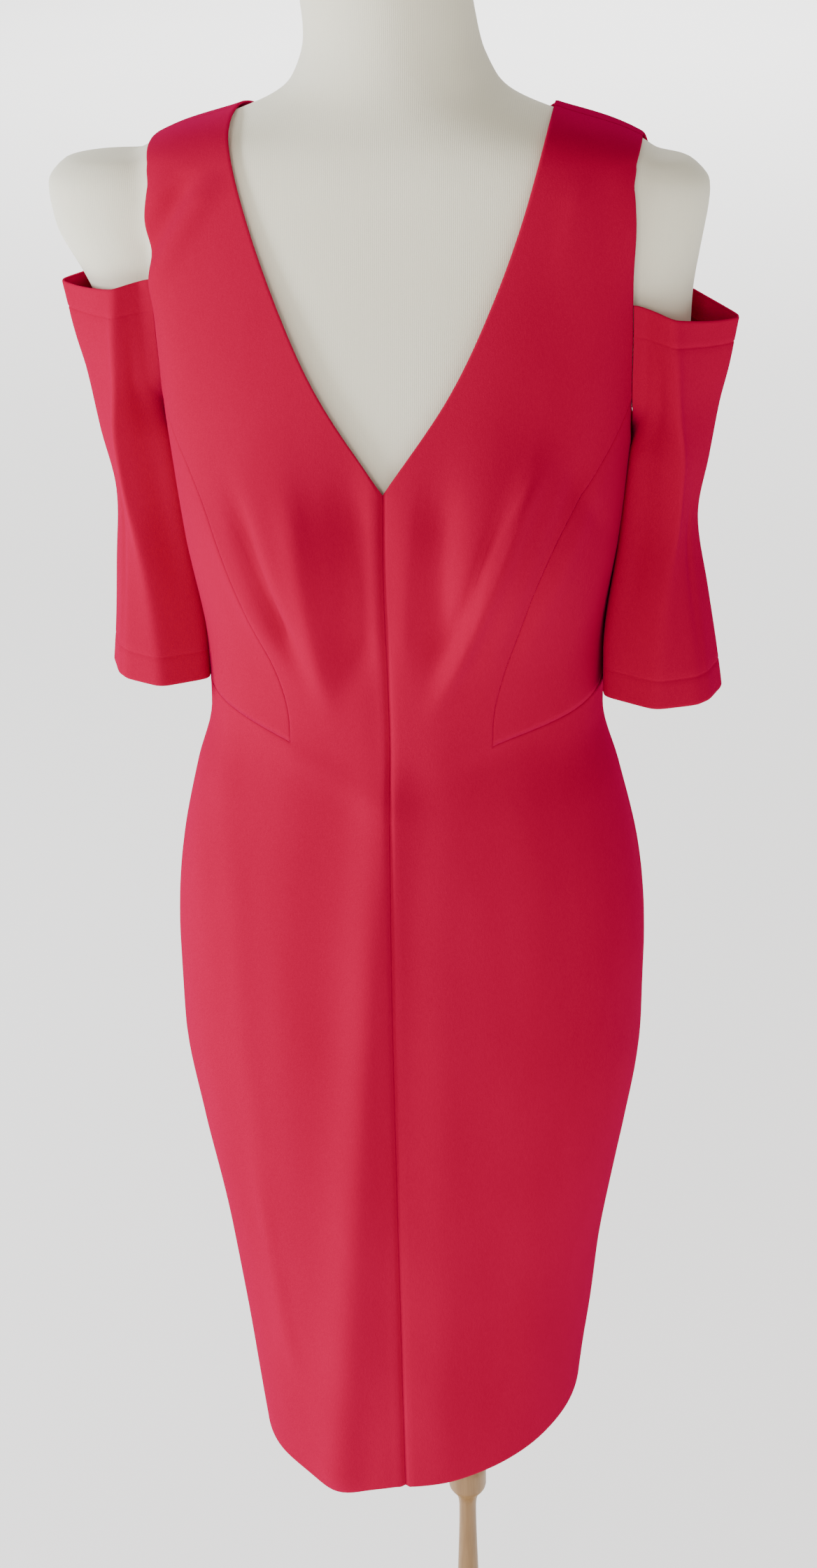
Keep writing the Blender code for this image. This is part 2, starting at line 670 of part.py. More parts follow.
def main():
    collection = start_empty()
    cutters = bpy.data.collections.new("joined_shapes")
    bpy.context.scene.collection.children.link(cutters)
    crepe = material("red crepe", RED, 0.62)
    cover = material("cream cover", CREAM, 0.85)
    oak = material("oiled oak", OAK, 0.45)

    for side, word in ((1, "left"), (-1, "right")):
        for name, rows in (("front", front_rows()), ("side_front", side_front_rows()), ("back", back_rows())):
            points = [[placed(point, side) for point in row] for row in rows]
            add_cloth(collection, f"{name}_{word}", points, crepe, axis_point)
        rows, closed_from = sleeve_rows(side)
        add_cloth(collection, f"sleeve_{word}", rows, crepe, sleeve_axis(side),
                  outward_wall=False, closed_below=closed_from)

    add_form(collection, cutters, cover)
    add_base_plate(collection, oak)
    add_turned(collection, "post", post_outline(), POST_STEPS, oak)
    add_turned(collection, "base", BASE, BASE_STEPS, oak)


main()
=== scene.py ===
# %% [markdown]
# # A cold shoulder midi dress on its dress form
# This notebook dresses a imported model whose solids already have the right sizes. Each piece of
# cloth is laid again as a thin, finely divided shell with its creases and sewn edges, the form
# gets a smooth cream cover, and the wooden stand is turned finely. Nothing here moves the model.

# %% Load the frame
import json
import math

import bmesh
import bpy
import numpy as np
from mathutils import Matrix

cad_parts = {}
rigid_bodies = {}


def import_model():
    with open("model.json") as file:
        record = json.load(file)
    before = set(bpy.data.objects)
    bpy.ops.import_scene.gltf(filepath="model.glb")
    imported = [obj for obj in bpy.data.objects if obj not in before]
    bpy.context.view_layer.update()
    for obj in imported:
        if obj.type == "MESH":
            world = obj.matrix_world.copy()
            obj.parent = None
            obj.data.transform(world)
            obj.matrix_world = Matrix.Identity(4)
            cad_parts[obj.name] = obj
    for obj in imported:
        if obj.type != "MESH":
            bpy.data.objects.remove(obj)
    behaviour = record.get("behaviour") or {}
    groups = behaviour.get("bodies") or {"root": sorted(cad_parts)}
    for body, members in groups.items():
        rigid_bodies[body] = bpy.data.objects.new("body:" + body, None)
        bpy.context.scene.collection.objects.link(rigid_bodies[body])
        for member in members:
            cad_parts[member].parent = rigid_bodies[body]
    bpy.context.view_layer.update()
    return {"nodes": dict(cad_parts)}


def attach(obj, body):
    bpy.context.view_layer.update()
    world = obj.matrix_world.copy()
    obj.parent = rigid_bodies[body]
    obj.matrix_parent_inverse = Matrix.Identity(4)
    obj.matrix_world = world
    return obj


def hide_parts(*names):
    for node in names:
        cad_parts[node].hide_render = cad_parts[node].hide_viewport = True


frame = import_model()

# %% [markdown]
# ## The camera
# The photograph was taken by someone standing a little to the wearer's left, with the camera
# above shoulder height and tipped down, so the hem curves like a bowl's rim. Turning the camera
# about its own axes, in the order turn, tip, roll, keeps each number easy to read.

# %% Camera
CAMERA_PLACE = (0.162, -1.375, 1.635)
CAMERA_TURN, CAMERA_DOWN, CAMERA_ROLL = 6.72, 26.58, -1.15
LENS_MM, SENSOR_MM = 50.3, 36.0

lens = bpy.data.cameras.new("camera")
lens.lens = LENS_MM
lens.sensor_width = SENSOR_MM
lens.clip_start = 0.05
camera = bpy.data.objects.new("camera", lens)
turn = Matrix.Rotation(math.radians(CAMERA_TURN), 4, "Z")
tip = Matrix.Rotation(math.radians(90.0 - CAMERA_DOWN), 4, "X")
roll = Matrix.Rotation(math.radians(CAMERA_ROLL), 4, "Z")
camera.matrix_world = Matrix.Translation(CAMERA_PLACE) @ turn @ tip @ roll
bpy.context.scene.collection.objects.link(camera)
bpy.context.scene.camera = camera
print("camera at", CAMERA_PLACE, "lens", LENS_MM, "mm")

# %% [markdown]
# ## Reading a table on a smooth curve
# Sizes that change along the body stand in short tables. Straight lines between the rows would
# show as bends in the cloth, and an ordinary spline overshoots where a column turns. A cubic
# whose slopes are held back at the turns does neither.

# %% Smooth tables
def read_smooth(table, at):
    """The table's other columns at values of its first, on cubics that don't overshoot."""
    keys, rows = table[:, 0], table[:, 1:]
    steps = np.diff(keys)[:, None]
    slopes = np.diff(rows, axis=0) / steps
    middle = (slopes[:-1] * steps[1:] + slopes[1:] * steps[:-1]) / (steps[:-1] + steps[1:])
    limit = 3.0 * np.minimum(abs(slopes[:-1]), abs(slopes[1:]))
    middle = np.where(slopes[:-1] * slopes[1:] <= 0, 0.0, np.clip(middle, -limit, limit))
    tangents = np.vstack([slopes[:1], middle, slopes[-1:]])
    at = np.clip(np.asarray(at, float), keys[0], keys[-1])
    k = np.clip(np.searchsorted(keys, at, side="right") - 1, 0, len(keys) - 2)
    s = (at - keys[k])[..., None] / steps[k]
    return ((2 * s**3 - 3 * s**2 + 1) * rows[k] + (s**3 - 2 * s**2 + s) * steps[k] * tangents[k]
            + (3 * s**2 - 2 * s**3) * rows[k + 1] + (s**3 - s**2) * steps[k] * tangents[k + 1])


def ease(share):
    """0 to 1 with soft ends."""
    share = np.clip(share, 0.0, 1.0)
    return share * share * (3 - 2 * share)


# %% [markdown]
# ## The body surface
# Every piece of this dress lies on one surface, so the sheath keeps its line across the seams.
# It could be sculpted, but level sections are easier to check against a tape measure: a half
# width, a depth in front and behind, and how square the section is. The bust is two soft hills.
# The table is the same as the solids', because cloth has to lie where the model says.

# %% Body sections
# height, half width at the side, depth in front, depth behind, squareness
BODY = np.array([
    (0.380, 0.1235, 0.113, 0.111, 2.15),
    (0.480, 0.1330, 0.117, 0.118, 2.15),
    (0.580, 0.1430, 0.119, 0.122, 2.20),
    (0.680, 0.1585, 0.121, 0.126, 2.20),
    (0.760, 0.1675, 0.121, 0.128, 2.20),
    (0.820, 0.1675, 0.119, 0.126, 2.20),
    (0.900, 0.1605, 0.112, 0.112, 2.20),
    (0.960, 0.1470, 0.105, 0.098, 2.15),
    (1.010, 0.1340, 0.100, 0.090, 2.10),
    (1.060, 0.1335, 0.103, 0.092, 2.15),
    (1.140, 0.143, 0.110, 0.098, 2.30),
    (1.200, 0.149, 0.104, 0.102, 2.40),
    (1.260, 0.155, 0.095, 0.103, 2.50),
    (1.310, 0.162, 0.085, 0.100, 2.50),
    (1.350, 0.168, 0.077, 0.096, 2.50),
    (1.379, 0.162, 0.071, 0.090, 2.40),
    (1.393, 0.139, 0.067, 0.082, 2.30),
    (1.4045, 0.101, 0.062, 0.072, 2.20),
    (1.416, 0.074, 0.057, 0.062, 2.10),
    (1.435, 0.059, 0.052, 0.055, 2.00),
    (1.460, 0.054, 0.050, 0.052, 2.00),
    (1.500, 0.053, 0.051, 0.053, 2.00),
])
BUST_OUT, BUST_X, BUST_HEIGHT = 0.020, 0.080, 1.145
BUST_WIDE, BUST_TALL = 0.052, 0.058


def skin(angle, height):
    """Points of the body surface; angles in degrees from centre front, + to the wearer's left."""
    angle, height = np.broadcast_arrays(np.asarray(angle, float), np.asarray(height, float))
    half_width, front, back, square = np.moveaxis(read_smooth(BODY, height), -1, 0)
    sine, cosine = np.sin(np.radians(angle)), np.cos(np.radians(angle))
    depth = np.where(cosine > 0, front, back)
    reach = ((abs(sine) / half_width)**square + (abs(cosine) / depth)**square)**(-1 / square)
    x, y = reach * sine, -reach * cosine
    across = sum(np.exp(-((x - middle) / BUST_WIDE)**2) for middle in (-BUST_X, BUST_X))
    along = np.exp(-((height - BUST_HEIGHT) / BUST_TALL)**2)
    y = y - BUST_OUT * across * along * np.sqrt(np.clip(cosine, 0.0, 1.0))
    return np.stack([x, y, height], axis=-1)


def outward(angle, height):
    """Unit normals of the surface, away from the body."""
    along = skin(angle + 0.5, height) - skin(angle - 0.5, height)
    up = skin(angle, height + 0.0005) - skin(angle, height - 0.0005)
    normal = np.cross(along, up)
    return normal / np.linalg.norm(normal, axis=-1, keepdims=True)


def angle_at(x, height, behind=False):
    """The angle, 0 to 180, at which the section at a height reaches x."""
    half_width, front, back, square = np.moveaxis(read_smooth(BODY, height), -1, 0)
    share = np.minimum(abs(x) / half_width, 1.0)
    depth = (1 - share**square)**(1 / square) * (back if behind else front)
    angle = np.degrees(np.arctan2(abs(x), depth))
    return 180.0 - angle if behind else angle


hips = skin(np.linspace(0, 360, 361), 0.80)
print("hips round", round(float(np.linalg.norm(np.diff(hips, axis=0), axis=1).sum()), 3), "m")

# %% [markdown]
# ## Where the pattern pieces meet
# A dressmaker's cut is a set of lines on the body: neckline, armhole, the curved seam from the
# armhole over the bust to a pointed corner at the waist, and the short waist seam to the side.
# Each line is a height with an angle or a width, so the same line ends two pieces.

# %% Seam lines
NECKLINE = np.array([
    (1.193, 0.000), (1.255, 0.042), (1.306, 0.066), (1.350, 0.082), (1.378, 0.090), (1.3975, 0.095),
])
BACK_NECKLINE = np.array([
    (1.352, 0.000), (1.3541, 0.020), (1.3608, 0.042), (1.3725, 0.064), (1.3860, 0.082),
    (1.3985, 0.095),
])
CREST_NECK, CREST_TIP = 0.097, 0.151
SHOULDER_LOW, SHOULDER_TOP, HALVINGS = 1.370, 1.416, 40
# height, angle of the front edge, angle of the back edge
ARMHOLE = np.array([
    (1.195, 90.0, 90.0), (1.205, 84.0, 97.0), (1.235, 78.0, 104.0), (1.280, 74.5, 107.0),
    (1.330, 73.0, 108.0), (1.365, 73.5, 107.0), (1.378, 76.0, 104.0),
])
PRINCESS = np.array([
    (1.016, 0.066), (1.040, 0.067), (1.070, 0.074), (1.092, 0.082), (1.130, 0.095), (1.169, 0.112),
    (1.200, 0.130),
])
UNDERARM, PRINCESS_TOP, V_BOTTOM = 1.195, 1.235, 1.193
CENTRE_WAIST, CORNER_WAIST, SIDE_WAIST, BACK_WAIST = 1.010, 1.016, 1.034, 1.025
# The hem slants, rises further on the wearer's left and sags a little under the skirt's long fold.
HEM, HEM_TILT = 0.392, 0.120
HEM_LIFT, HEM_LIFT_REACH = 0.016, 0.120
HEM_SAG, HEM_SAG_X, HEM_SAG_WIDE = 0.008, -0.052, 0.030


def crest_height(x):
    """The height at which the shoulder slope is x wide, by halving."""
    low, high = SHOULDER_LOW, SHOULDER_TOP
    for _ in range(HALVINGS):
        middle = (low + high) / 2
        low, high = (middle, high) if read_smooth(BODY, middle)[0] > x else (low, middle)
    return (low + high) / 2


def neckline_angle(height, table, behind=False):
    """The neck edge; above its table it keeps widening to the inner end of the shoulder seam."""
    top_height, top_x = table[-1]
    share = np.clip((height - top_height) / (crest_height(CREST_NECK) - top_height), 0, 1)
    above = top_x + (CREST_NECK - top_x) * share
    return angle_at(np.where(share > 0, above, read_smooth(table, height)[..., 0]), height, behind)


def armhole_angle(height, behind=False):
    """The armhole's edge; above its table it runs to the outer end of the shoulder seam."""
    column = 1 if behind else 0
    top_height, top_x = ARMHOLE[-1, 0], skin(ARMHOLE[-1, 1 + column], ARMHOLE[-1, 0])[0]
    share = np.clip((height - top_height) / (crest_height(CREST_TIP) - top_height), 0, 1)
    above = angle_at(top_x + (CREST_TIP - top_x) * share, height, behind)
    return np.where(share > 0, above, read_smooth(ARMHOLE, height)[..., column])


def princess_angle(height):
    top_angle = read_smooth(ARMHOLE, PRINCESS_TOP)[0]
    knee = PRINCESS[-1, 0]
    low_angle = angle_at(PRINCESS[-1, 1], knee)
    on_curve = angle_at(read_smooth(PRINCESS, height)[..., 0], height)
    share = (height - knee) / (PRINCESS_TOP - knee)
    return np.where(height > knee, low_angle + (top_angle - low_angle) * share, on_curve)


print("shoulder seam at", [round(crest_height(x), 3) for x in (CREST_NECK, CREST_TIP)], "m")

# %% [markdown]
# ## Nets of points with fine rows beside the edges
# A sewn edge shows as a groove two or three millimetres wide, and a whole panel at that spacing
# would be far too heavy. So a net's rows and columns crowd near its edges only, at distances
# in real millimetres, whatever the row's length.

# %% Graded nets
EDGE_STEPS = np.array([0.0, 0.0007, 0.0015, 0.0026, 0.0042])
ROW_SPARE, ROW_LEAST = 1.04, 0.03


def graded(length, count):
    """Shares from 0 to 1 of a length, close together at both ends; one row for each length."""
    length = np.atleast_1d(np.asarray(length, float))[:, None]
    ends = EDGE_STEPS[None, :] / length
    last = EDGE_STEPS[-1] / length
    inside = last + (1 - 2 * last) * np.linspace(0, 1, count - 2 * len(EDGE_STEPS) + 2)[None, 1:-1]
    return np.hstack([ends, inside, 1 - ends[:, ::-1]])


def lerp(a, b, shares):
    return a[..., None] + (b - a)[..., None] * shares


def net_between(inner, outer, count):
    """A net of (angle, height) from one edge line to another, each an array of pairs."""
    ends = skin(inner[:, 0], inner[:, 1]), skin(outer[:, 0], outer[:, 1])
    length = np.maximum(np.linalg.norm(ends[1] - ends[0], axis=-1) * ROW_SPARE, ROW_LEAST)
    shares = graded(length, count)
    return np.stack([lerp(inner[:, k], outer[:, k], shares) for k in (0, 1)], axis=-1)


def edge_distance(points, sides):
    """How far each point of a net is from the nearest named edge, along its row or column."""
    across = np.linalg.norm(np.diff(points, axis=1), axis=-1)
    down = np.linalg.norm(np.diff(points, axis=0), axis=-1)
    across = np.concatenate([np.zeros_like(across[:, :1]), np.cumsum(across, axis=1)], axis=1)
    down = np.concatenate([np.zeros_like(down[:1]), np.cumsum(down, axis=0)], axis=0)
    found = {"inner": across, "outer": across[:, -1:] - across,
             "top": down, "bottom": down[-1:] - down}
    return np.min([found[side] for side in sides], axis=0)


print("edge rows at", [round(float(step) * 1000, 1) for step in EDGE_STEPS], "mm")

# %% [markdown]
# ## Creases
# Cloth that is pulled shows long soft folds that start sharp and fade. A simulation gives some
# folds, but not these ones. Each fold of the photograph is one row here: where it starts and
# ends, how deep it is (below zero is a trough) and how wide. Sums of such rows, with a faint
# ripple under them, are enough, because the eye reads the shading and not the exact height.

# %% Crease tables
# x and height of the start, x and height of the end, depth, half width
BUST_CREASES = np.array([
    (-0.086, 1.160, -0.069, 1.108, -0.0072, 0.0062),
    (-0.104, 1.150, -0.086, 1.110, 0.0018, 0.0070),
    (-0.055, 1.168, -0.044, 1.080, 0.0042, 0.0080),
    (-0.019, 1.172, -0.022, 1.100, -0.0074, 0.0130),
    (-0.0075, 1.176, -0.0070, 1.110, 0.0026, 0.0045),
    (0.015, 1.172, 0.012, 1.112, 0.0020, 0.0055),
    (0.036, 1.170, 0.033, 1.103, -0.0062, 0.0105),
    (0.084, 1.186, 0.045, 1.086, 0.0078, 0.0068),
    (0.068, 1.160, 0.050, 1.114, -0.0052, 0.0056),
    (0.113, 1.184, 0.082, 1.094, -0.0030, 0.0065),
    (0.124, 1.176, 0.100, 1.120, 0.0014, 0.0060),
    (0.110, 1.206, 0.124, 1.176, -0.0012, 0.0050),
])
STRAP_CREASES = np.array([
    (-0.100, 1.378, -0.140, 1.318, 0.0034, 0.0070),
    (-0.118, 1.376, -0.150, 1.325, -0.0036, 0.0060),
    (-0.134, 1.376, -0.148, 1.350, 0.0016, 0.0050),
    (0.118, 1.385, 0.112, 1.352, 0.0010, 0.0070),
    (0.136, 1.380, 0.132, 1.350, -0.0012, 0.0060),
    (0.120, 1.250, 0.104, 1.196, 0.0010, 0.0090),
])
SKIRT_CREASES = np.array([
    (-0.004, 0.975, -0.051, 0.400, 0.0088, 0.0168),
    (-0.066, 1.000, -0.085, 0.620, 0.0016, 0.0180),
    (-0.006, 1.060, -0.006, 0.400, -0.0012, 0.0090),
    (0.030, 1.000, 0.034, 0.420, 0.0014, 0.0170),
    (-0.114, 0.960, -0.093, 0.520, 0.0018, 0.0100),
    (-0.100, 0.640, -0.088, 0.520, 0.0012, 0.0040),
    (0.100, 0.940, 0.092, 0.480, 0.0014, 0.0150),
    (-0.070, 1.012, -0.020, 0.985, 0.0010, 0.0090),
    (0.072, 1.010, 0.024, 0.988, -0.0010, 0.0090),
])
BACK_CREASES = np.array([
    (-0.092, 1.062, -0.030, 1.020, -0.0030, 0.0080),
    (-0.100, 1.044, -0.040, 1.000, 0.0020, 0.0070),
    (0.094, 1.050, 0.026, 1.000, -0.0032, 0.0090),
    (0.098, 1.030, 0.036, 0.986, 0.0018, 0.0070),
    (-0.070, 0.990, -0.012, 0.965, -0.0022, 0.0080),
    (0.060, 1.122, 0.034, 1.058, 0.0024, 0.0100),
    (-0.064, 1.132, -0.030, 1.068, 0.0022, 0.0100),
    (-0.112, 1.180, -0.070, 1.130, -0.0020, 0.0080),
    (0.108, 1.188, 0.072, 1.142, -0.0018, 0.0070),
    (-0.050, 0.800, -0.042, 0.400, 0.0026, 0.0210),
    (0.040, 0.790, 0.046, 0.400, -0.0022, 0.0190),
    (0.092, 0.700, 0.084, 0.420, 0.0018, 0.0140),
])
FRONT_CREASES = np.vstack([BUST_CREASES, STRAP_CREASES, SKIRT_CREASES])
CREASE_FADE = 0.028
RIPPLE_DEPTH, RIPPLE_SEED, RIPPLE_COUNT = 0.00030, 11, 14
RIPPLE_WAVES = (75.0, 75.0, 34.0)


def crease_lift(x, height, creases):
    """How far the creases move the cloth outward."""
    total = np.zeros(np.broadcast(x, height).shape)
    for x0, z0, x1, z1, depth, spread in creases:
        run_x, run_z = x1 - x0, z1 - z0
        length = math.hypot(run_x, run_z)
        along = ((x - x0) * run_x + (height - z0) * run_z) / length
        aside = ((x - x0) * run_z - (height - z0) * run_x) / length
        past = np.maximum(np.maximum(-along, along - length), 0.0)
        total = total + depth * np.exp(-(aside / spread)**2 - (past / CREASE_FADE)**2)
    return total


def ripple(points):
    """A faint unevenness, longer down the cloth than across it."""
    dice = np.random.default_rng(RIPPLE_SEED)
    total = np.zeros(points.shape[:-1])
    for _ in range(RIPPLE_COUNT):
        wave = dice.normal(size=3) * np.array(RIPPLE_WAVES)
        total += np.sin(points @ wave + dice.uniform(0, math.tau))
    return total / math.sqrt(RIPPLE_COUNT) * RIPPLE_DEPTH


print(len(FRONT_CREASES), "creases in front,", len(BACK_CREASES), "behind")

# %% [markdown]
# ## Laying a panel
# The cloth is a single layer of points on the outside, given its thickness inward by a
# Solidify modifier. Where it is sewn it dips into the seam, and where it is turned under, at
# neck, armhole and hem, it rolls over a little. The folds fade out towards the side and shoulder
# seams, so the pieces still meet there.

# %% Panel helpers
CLOTH_OUTSIDE, CLOTH_THICK = 0.0015, 0.0011
SEAM_DIP, SEAM_WIDE = 0.0004, 0.0014
CENTRE_DIP, CENTRE_WIDE = 0.0021, 0.0037
TURN_DIP, TURN_WIDE = 0.0006, 0.0013
CREST_LEVEL = 1.378
SIDE_FADE, FOLD_FADE, RIPPLE_FADE = 22.0, 0.015, 0.020


def edge_dip(distance, dip, wide):
    return dip * (1 - ease(distance / wide))


def on_dress(net, side, seams, turned_edges):
    """World points of a net on one side of the body, with creases, ripple and sewn edges."""
    angle, height = net[..., 0] * side, net[..., 1]
    base = skin(angle, height)
    flat_front = np.abs(net[..., 0]) < 90
    folds = np.where(flat_front, crease_lift(base[..., 0], height, FRONT_CREASES),
                     crease_lift(base[..., 0], height, BACK_CREASES))
    below_crest = CREST_LEVEL - height
    fade = np.clip(abs(np.abs(net[..., 0]) - 90) / SIDE_FADE, 0, 1) * np.clip(below_crest / FOLD_FADE, 0, 1)
    lift = CLOTH_OUTSIDE + folds * fade + ripple(base) * np.clip(below_crest / RIPPLE_FADE, 0, 1)
    if seams:
        lift = lift - edge_dip(edge_distance(base, seams), SEAM_DIP, SEAM_WIDE)
    if turned_edges:
        lift = lift - edge_dip(edge_distance(base, turned_edges), TURN_DIP, TURN_WIDE)
    return base + outward(angle, height) * lift[..., None]


def numbered(net):
    """The point numbers of a net, row by row."""
    return np.arange(net[..., 0].size).reshape(net.shape[:2])


def faces_of(ids):
    """Quads between the rows of an array of point numbers."""
    quads = np.stack([ids[:-1, :-1], ids[1:, :-1], ids[1:, 1:], ids[:-1, 1:]], axis=-1)
    return quads.reshape(-1, 4).tolist()


def add_mesh(name, points, faces, finish, smooth=True):
    mesh = bpy.data.meshes.new(name)
    mesh.from_pydata(np.asarray(points).reshape(-1, 3).tolist(), [], faces)
    mesh.materials.append(finish)
    if smooth:
        mesh.shade_smooth()
    piece = bpy.data.objects.new(name, mesh)
    bpy.context.scene.collection.objects.link(piece)
    return piece


def mend(piece, work):
    """Run one bmesh job on a piece's mesh."""
    mesh = bmesh.new()
    mesh.from_mesh(piece.data)
    work(mesh)
    mesh.to_mesh(piece.data)
    mesh.free()


def as_cloth(piece, axis_x=0.0):
    """Faces turned away from the upright axis at axis_x, and the wall's thickness laid inward."""
    centres = np.array([face.center for face in piece.data.polygons])
    normals = np.array([face.normal for face in piece.data.polygons])
    if ((centres - centres * (0.0, 0.0, 1.0) - (axis_x, 0.0, 0.0)) * normals).sum() < 0:
        piece.data.flip_normals()
    wall = piece.modifiers.new("cloth thickness", "SOLIDIFY")
    wall.thickness = CLOTH_THICK
    wall.offset = -1.0
    wall.use_even_offset = False
    return piece


def both_sides(make, name):
    """The wearer's left and right of a piece; prints the faces and area of each."""
    pieces = {word: make(f"{name}_{word}", side) for word, side in (("left", 1), ("right", -1))}
    for piece in pieces.values():
        faces = piece.data.polygons
        print(piece.name, len(faces), "faces,", round(sum(face.area for face in faces), 4), "m2")
    return pieces


print("cloth", CLOTH_THICK * 1000, "mm thick, outside", CLOTH_OUTSIDE * 1000, "mm off the body")

# %% [markdown]
# ## Writing shader maths as plain sums
# Materials need a lot of small arithmetic. Wrapping a socket in a class that knows +, - and *
# lets the graph be written as one would on paper, and each sum adds its own Math node.

# %% Socket arithmetic
class Wire:
    """One output of a material's graph; sums and products of wires add Math nodes."""

    def __init__(self, graph, socket):
        self.graph, self.socket = graph, socket

    def _math(self, operation, *values):
        return self.graph.add("ShaderNodeMath", {"operation": operation}, dict(enumerate(values)))

    def __add__(self, other):
        return self._math("ADD", self, other)

    def __sub__(self, other):
        return self._math("SUBTRACT", self, other)

    def __rsub__(self, other):
        return self._math("SUBTRACT", other, self)

    def __mul__(self, other):
        return self._math("MULTIPLY", self, other)

    __radd__ = __add__
    __rmul__ = __mul__


class Graph:
    """A material being built: its nodes come from add(), its colours from mix()."""

    def __init__(self, name, **constants):
        self.material = bpy.data.materials.new(name)
        self.material.use_nodes = True
        self.tree = self.material.node_tree
        self.shader = self.tree.nodes["Principled BSDF"]
        for socket, value in constants.items():
            self.shader.inputs[socket.replace("_", " ")].default_value = value

    def add(self, kind, settings=None, sockets=None, output=0):
        node = self.tree.nodes.new(kind)
        for name, value in (settings or {}).items():
            setattr(node, name, value)
        for key, value in (sockets or {}).items():
            self._feed(node.inputs[key], value)
        return Wire(self, node.outputs[output])

    def _feed(self, socket, value):
        if isinstance(value, Wire):
            self.tree.links.new(value.socket, socket)
        else:
            socket.default_value = value

    def place(self):
        return self.add("ShaderNodeTexCoord", output="Object")

    def stretched(self, scale):
        return self.add("ShaderNodeVectorMath", {"operation": "MULTIPLY"},
                        {0: self.place(), 1: scale})

    def noise(self, scale, detail=3.0, stretch=(1, 1, 1), roughness=0.55):
        return self.add("ShaderNodeTexNoise", {}, {"Vector": self.stretched(stretch), "Scale": scale,
                                                   "Detail": detail, "Roughness": roughness})

    def between(self, low, high, value):
        """0 below low, 1 above high, straight in between."""
        return self.add("ShaderNodeMapRange", {},
                        {"Value": value, "From Min": low, "From Max": high})

    def mix(self, factor, first, second):
        """A blend of two colours, first where the factor is 0."""
        return self.add("ShaderNodeMix", {"data_type": "RGBA"},
                        {0: factor, 6: (*first, 1.0), 7: (*second, 1.0)}, output=2)

    def bump(self, height, distance, strength=1.0):
        return self.add("ShaderNodeBump", {},
                        {"Height": height, "Distance": distance, "Strength": strength})

    def finish(self, **channels):
        for socket, value in channels.items():
            self._feed(self.shader.inputs[socket.replace("_", " ")], value)
        return self.material


print("shader helpers ready")

# %% [markdown]
# ## Red crepe
# Stretch crepe is matt with a fine pebbled grain and a soft sheen at grazing angles. The grain
# comes from tightly twisted yarns, so two fine noises at half a millimetre do better than a
# woven check. A slow change of tone stands for the uneven dye and handling.

# %% Crepe material
CREPE_BRIGHT, CREPE_DEEP = (0.450, 0.0030, 0.044), (0.385, 0.0020, 0.033)


def red_crepe():
    graph = Graph("red_crepe", Sheen_Weight=0.08, Sheen_Roughness=0.50, Specular_IOR_Level=0.0,
                  Sheen_Tint=(0.90, 0.01, 0.50, 1.0))
    tone = graph.noise(9.0, detail=4.0, stretch=(1, 1, 0.4))
    pebble = graph.noise(1500.0, detail=2.0)
    yarn = graph.noise(900.0, detail=1.0, stretch=(1, 1, 0.35))
    grain = pebble * 0.65 + yarn * 0.35
    shade = graph.between(0.3, 0.7, tone) * 0.65 + graph.between(0.35, 0.65, grain) * 0.35
    colour = graph.mix(shade, CREPE_DEEP, CREPE_BRIGHT)
    rough = grain * 0.16 + 0.56
    return graph.finish(Base_Color=colour, Roughness=rough, Normal=graph.bump(grain, 0.00035, 0.55))


crepe = red_crepe()
print("material", crepe.name)

# %% [markdown]
# ## The front panels
# Each front is one long piece, from the shoulder seam to the hem. Above the waist seam it lies
# between the neckline or centre seam and the armhole or princess seam. Below, it opens out to
# the side seam. Two nets that share the row at the waist give one piece with that corner.

# %% Front panels
STRAP_ROWS, BODICE_ROWS, SKIRT_ROWS = 60, 44, 128
STRAP_COLUMNS, WAIST_COLUMNS = 30, 22
CREST_SPACING, STRAP_LENGTH = 2.0, 0.30
WAIST_SEAM_LENGTH, WAIST_SEAM_BEND = 0.11, 0.7
SKIRT_LENGTH, SKIRT_ARC, COLUMNS_EVEN_BY = 0.62, 0.21, 0.3


def strap_heights(crest, end, rows):
    """Heights from the shoulder seam down; squares keep rows even where the shoulder is flat."""
    fine = EDGE_STEPS / STRAP_LENGTH
    rest = rows - len(fine)
    share = np.append(fine, fine[-1] + (1 - fine[-1]) * np.arange(1, rest + 1) / (rest + 1))
    return crest + (end - crest) * share**CREST_SPACING


def front_edges():
    z_in = strap_heights(crest_height(CREST_NECK), V_BOTTOM, STRAP_ROWS)
    angle_in = neckline_angle(z_in, NECKLINE)
    z_out = strap_heights(crest_height(CREST_TIP), PRINCESS_TOP, STRAP_ROWS)
    angle_out = armhole_angle(z_out)
    z_out = np.append(z_out, np.linspace(PRINCESS_TOP, CORNER_WAIST, BODICE_ROWS + 1))
    angle_out = np.append(angle_out, princess_angle(z_out[STRAP_ROWS:]))
    z_in = np.append(z_in, np.linspace(V_BOTTOM, CENTRE_WAIST, BODICE_ROWS + 1))
    angle_in = np.append(angle_in, np.zeros(BODICE_ROWS + 1))
    return np.stack([angle_in, z_in], axis=-1), np.stack([angle_out, z_out], axis=-1)


def waist_seam():
    start = float(princess_angle(np.array(CORNER_WAIST)))
    share = graded(WAIST_SEAM_LENGTH, WAIST_COLUMNS)[0]
    height = CORNER_WAIST + (SIDE_WAIST - CORNER_WAIST) * share**WAIST_SEAM_BEND
    return np.stack([start + (90 - start) * share, height], axis=-1)


def hem_height(angle, side):
    x = skin(angle * side, HEM)[..., 0]
    sag = HEM_SAG * np.exp(-((x - HEM_SAG_X) / HEM_SAG_WIDE)**2) * (np.abs(angle) < 90)
    return HEM + HEM_TILT * x + HEM_LIFT * (np.maximum(x, 0.0) / HEM_LIFT_REACH)**2 - sag


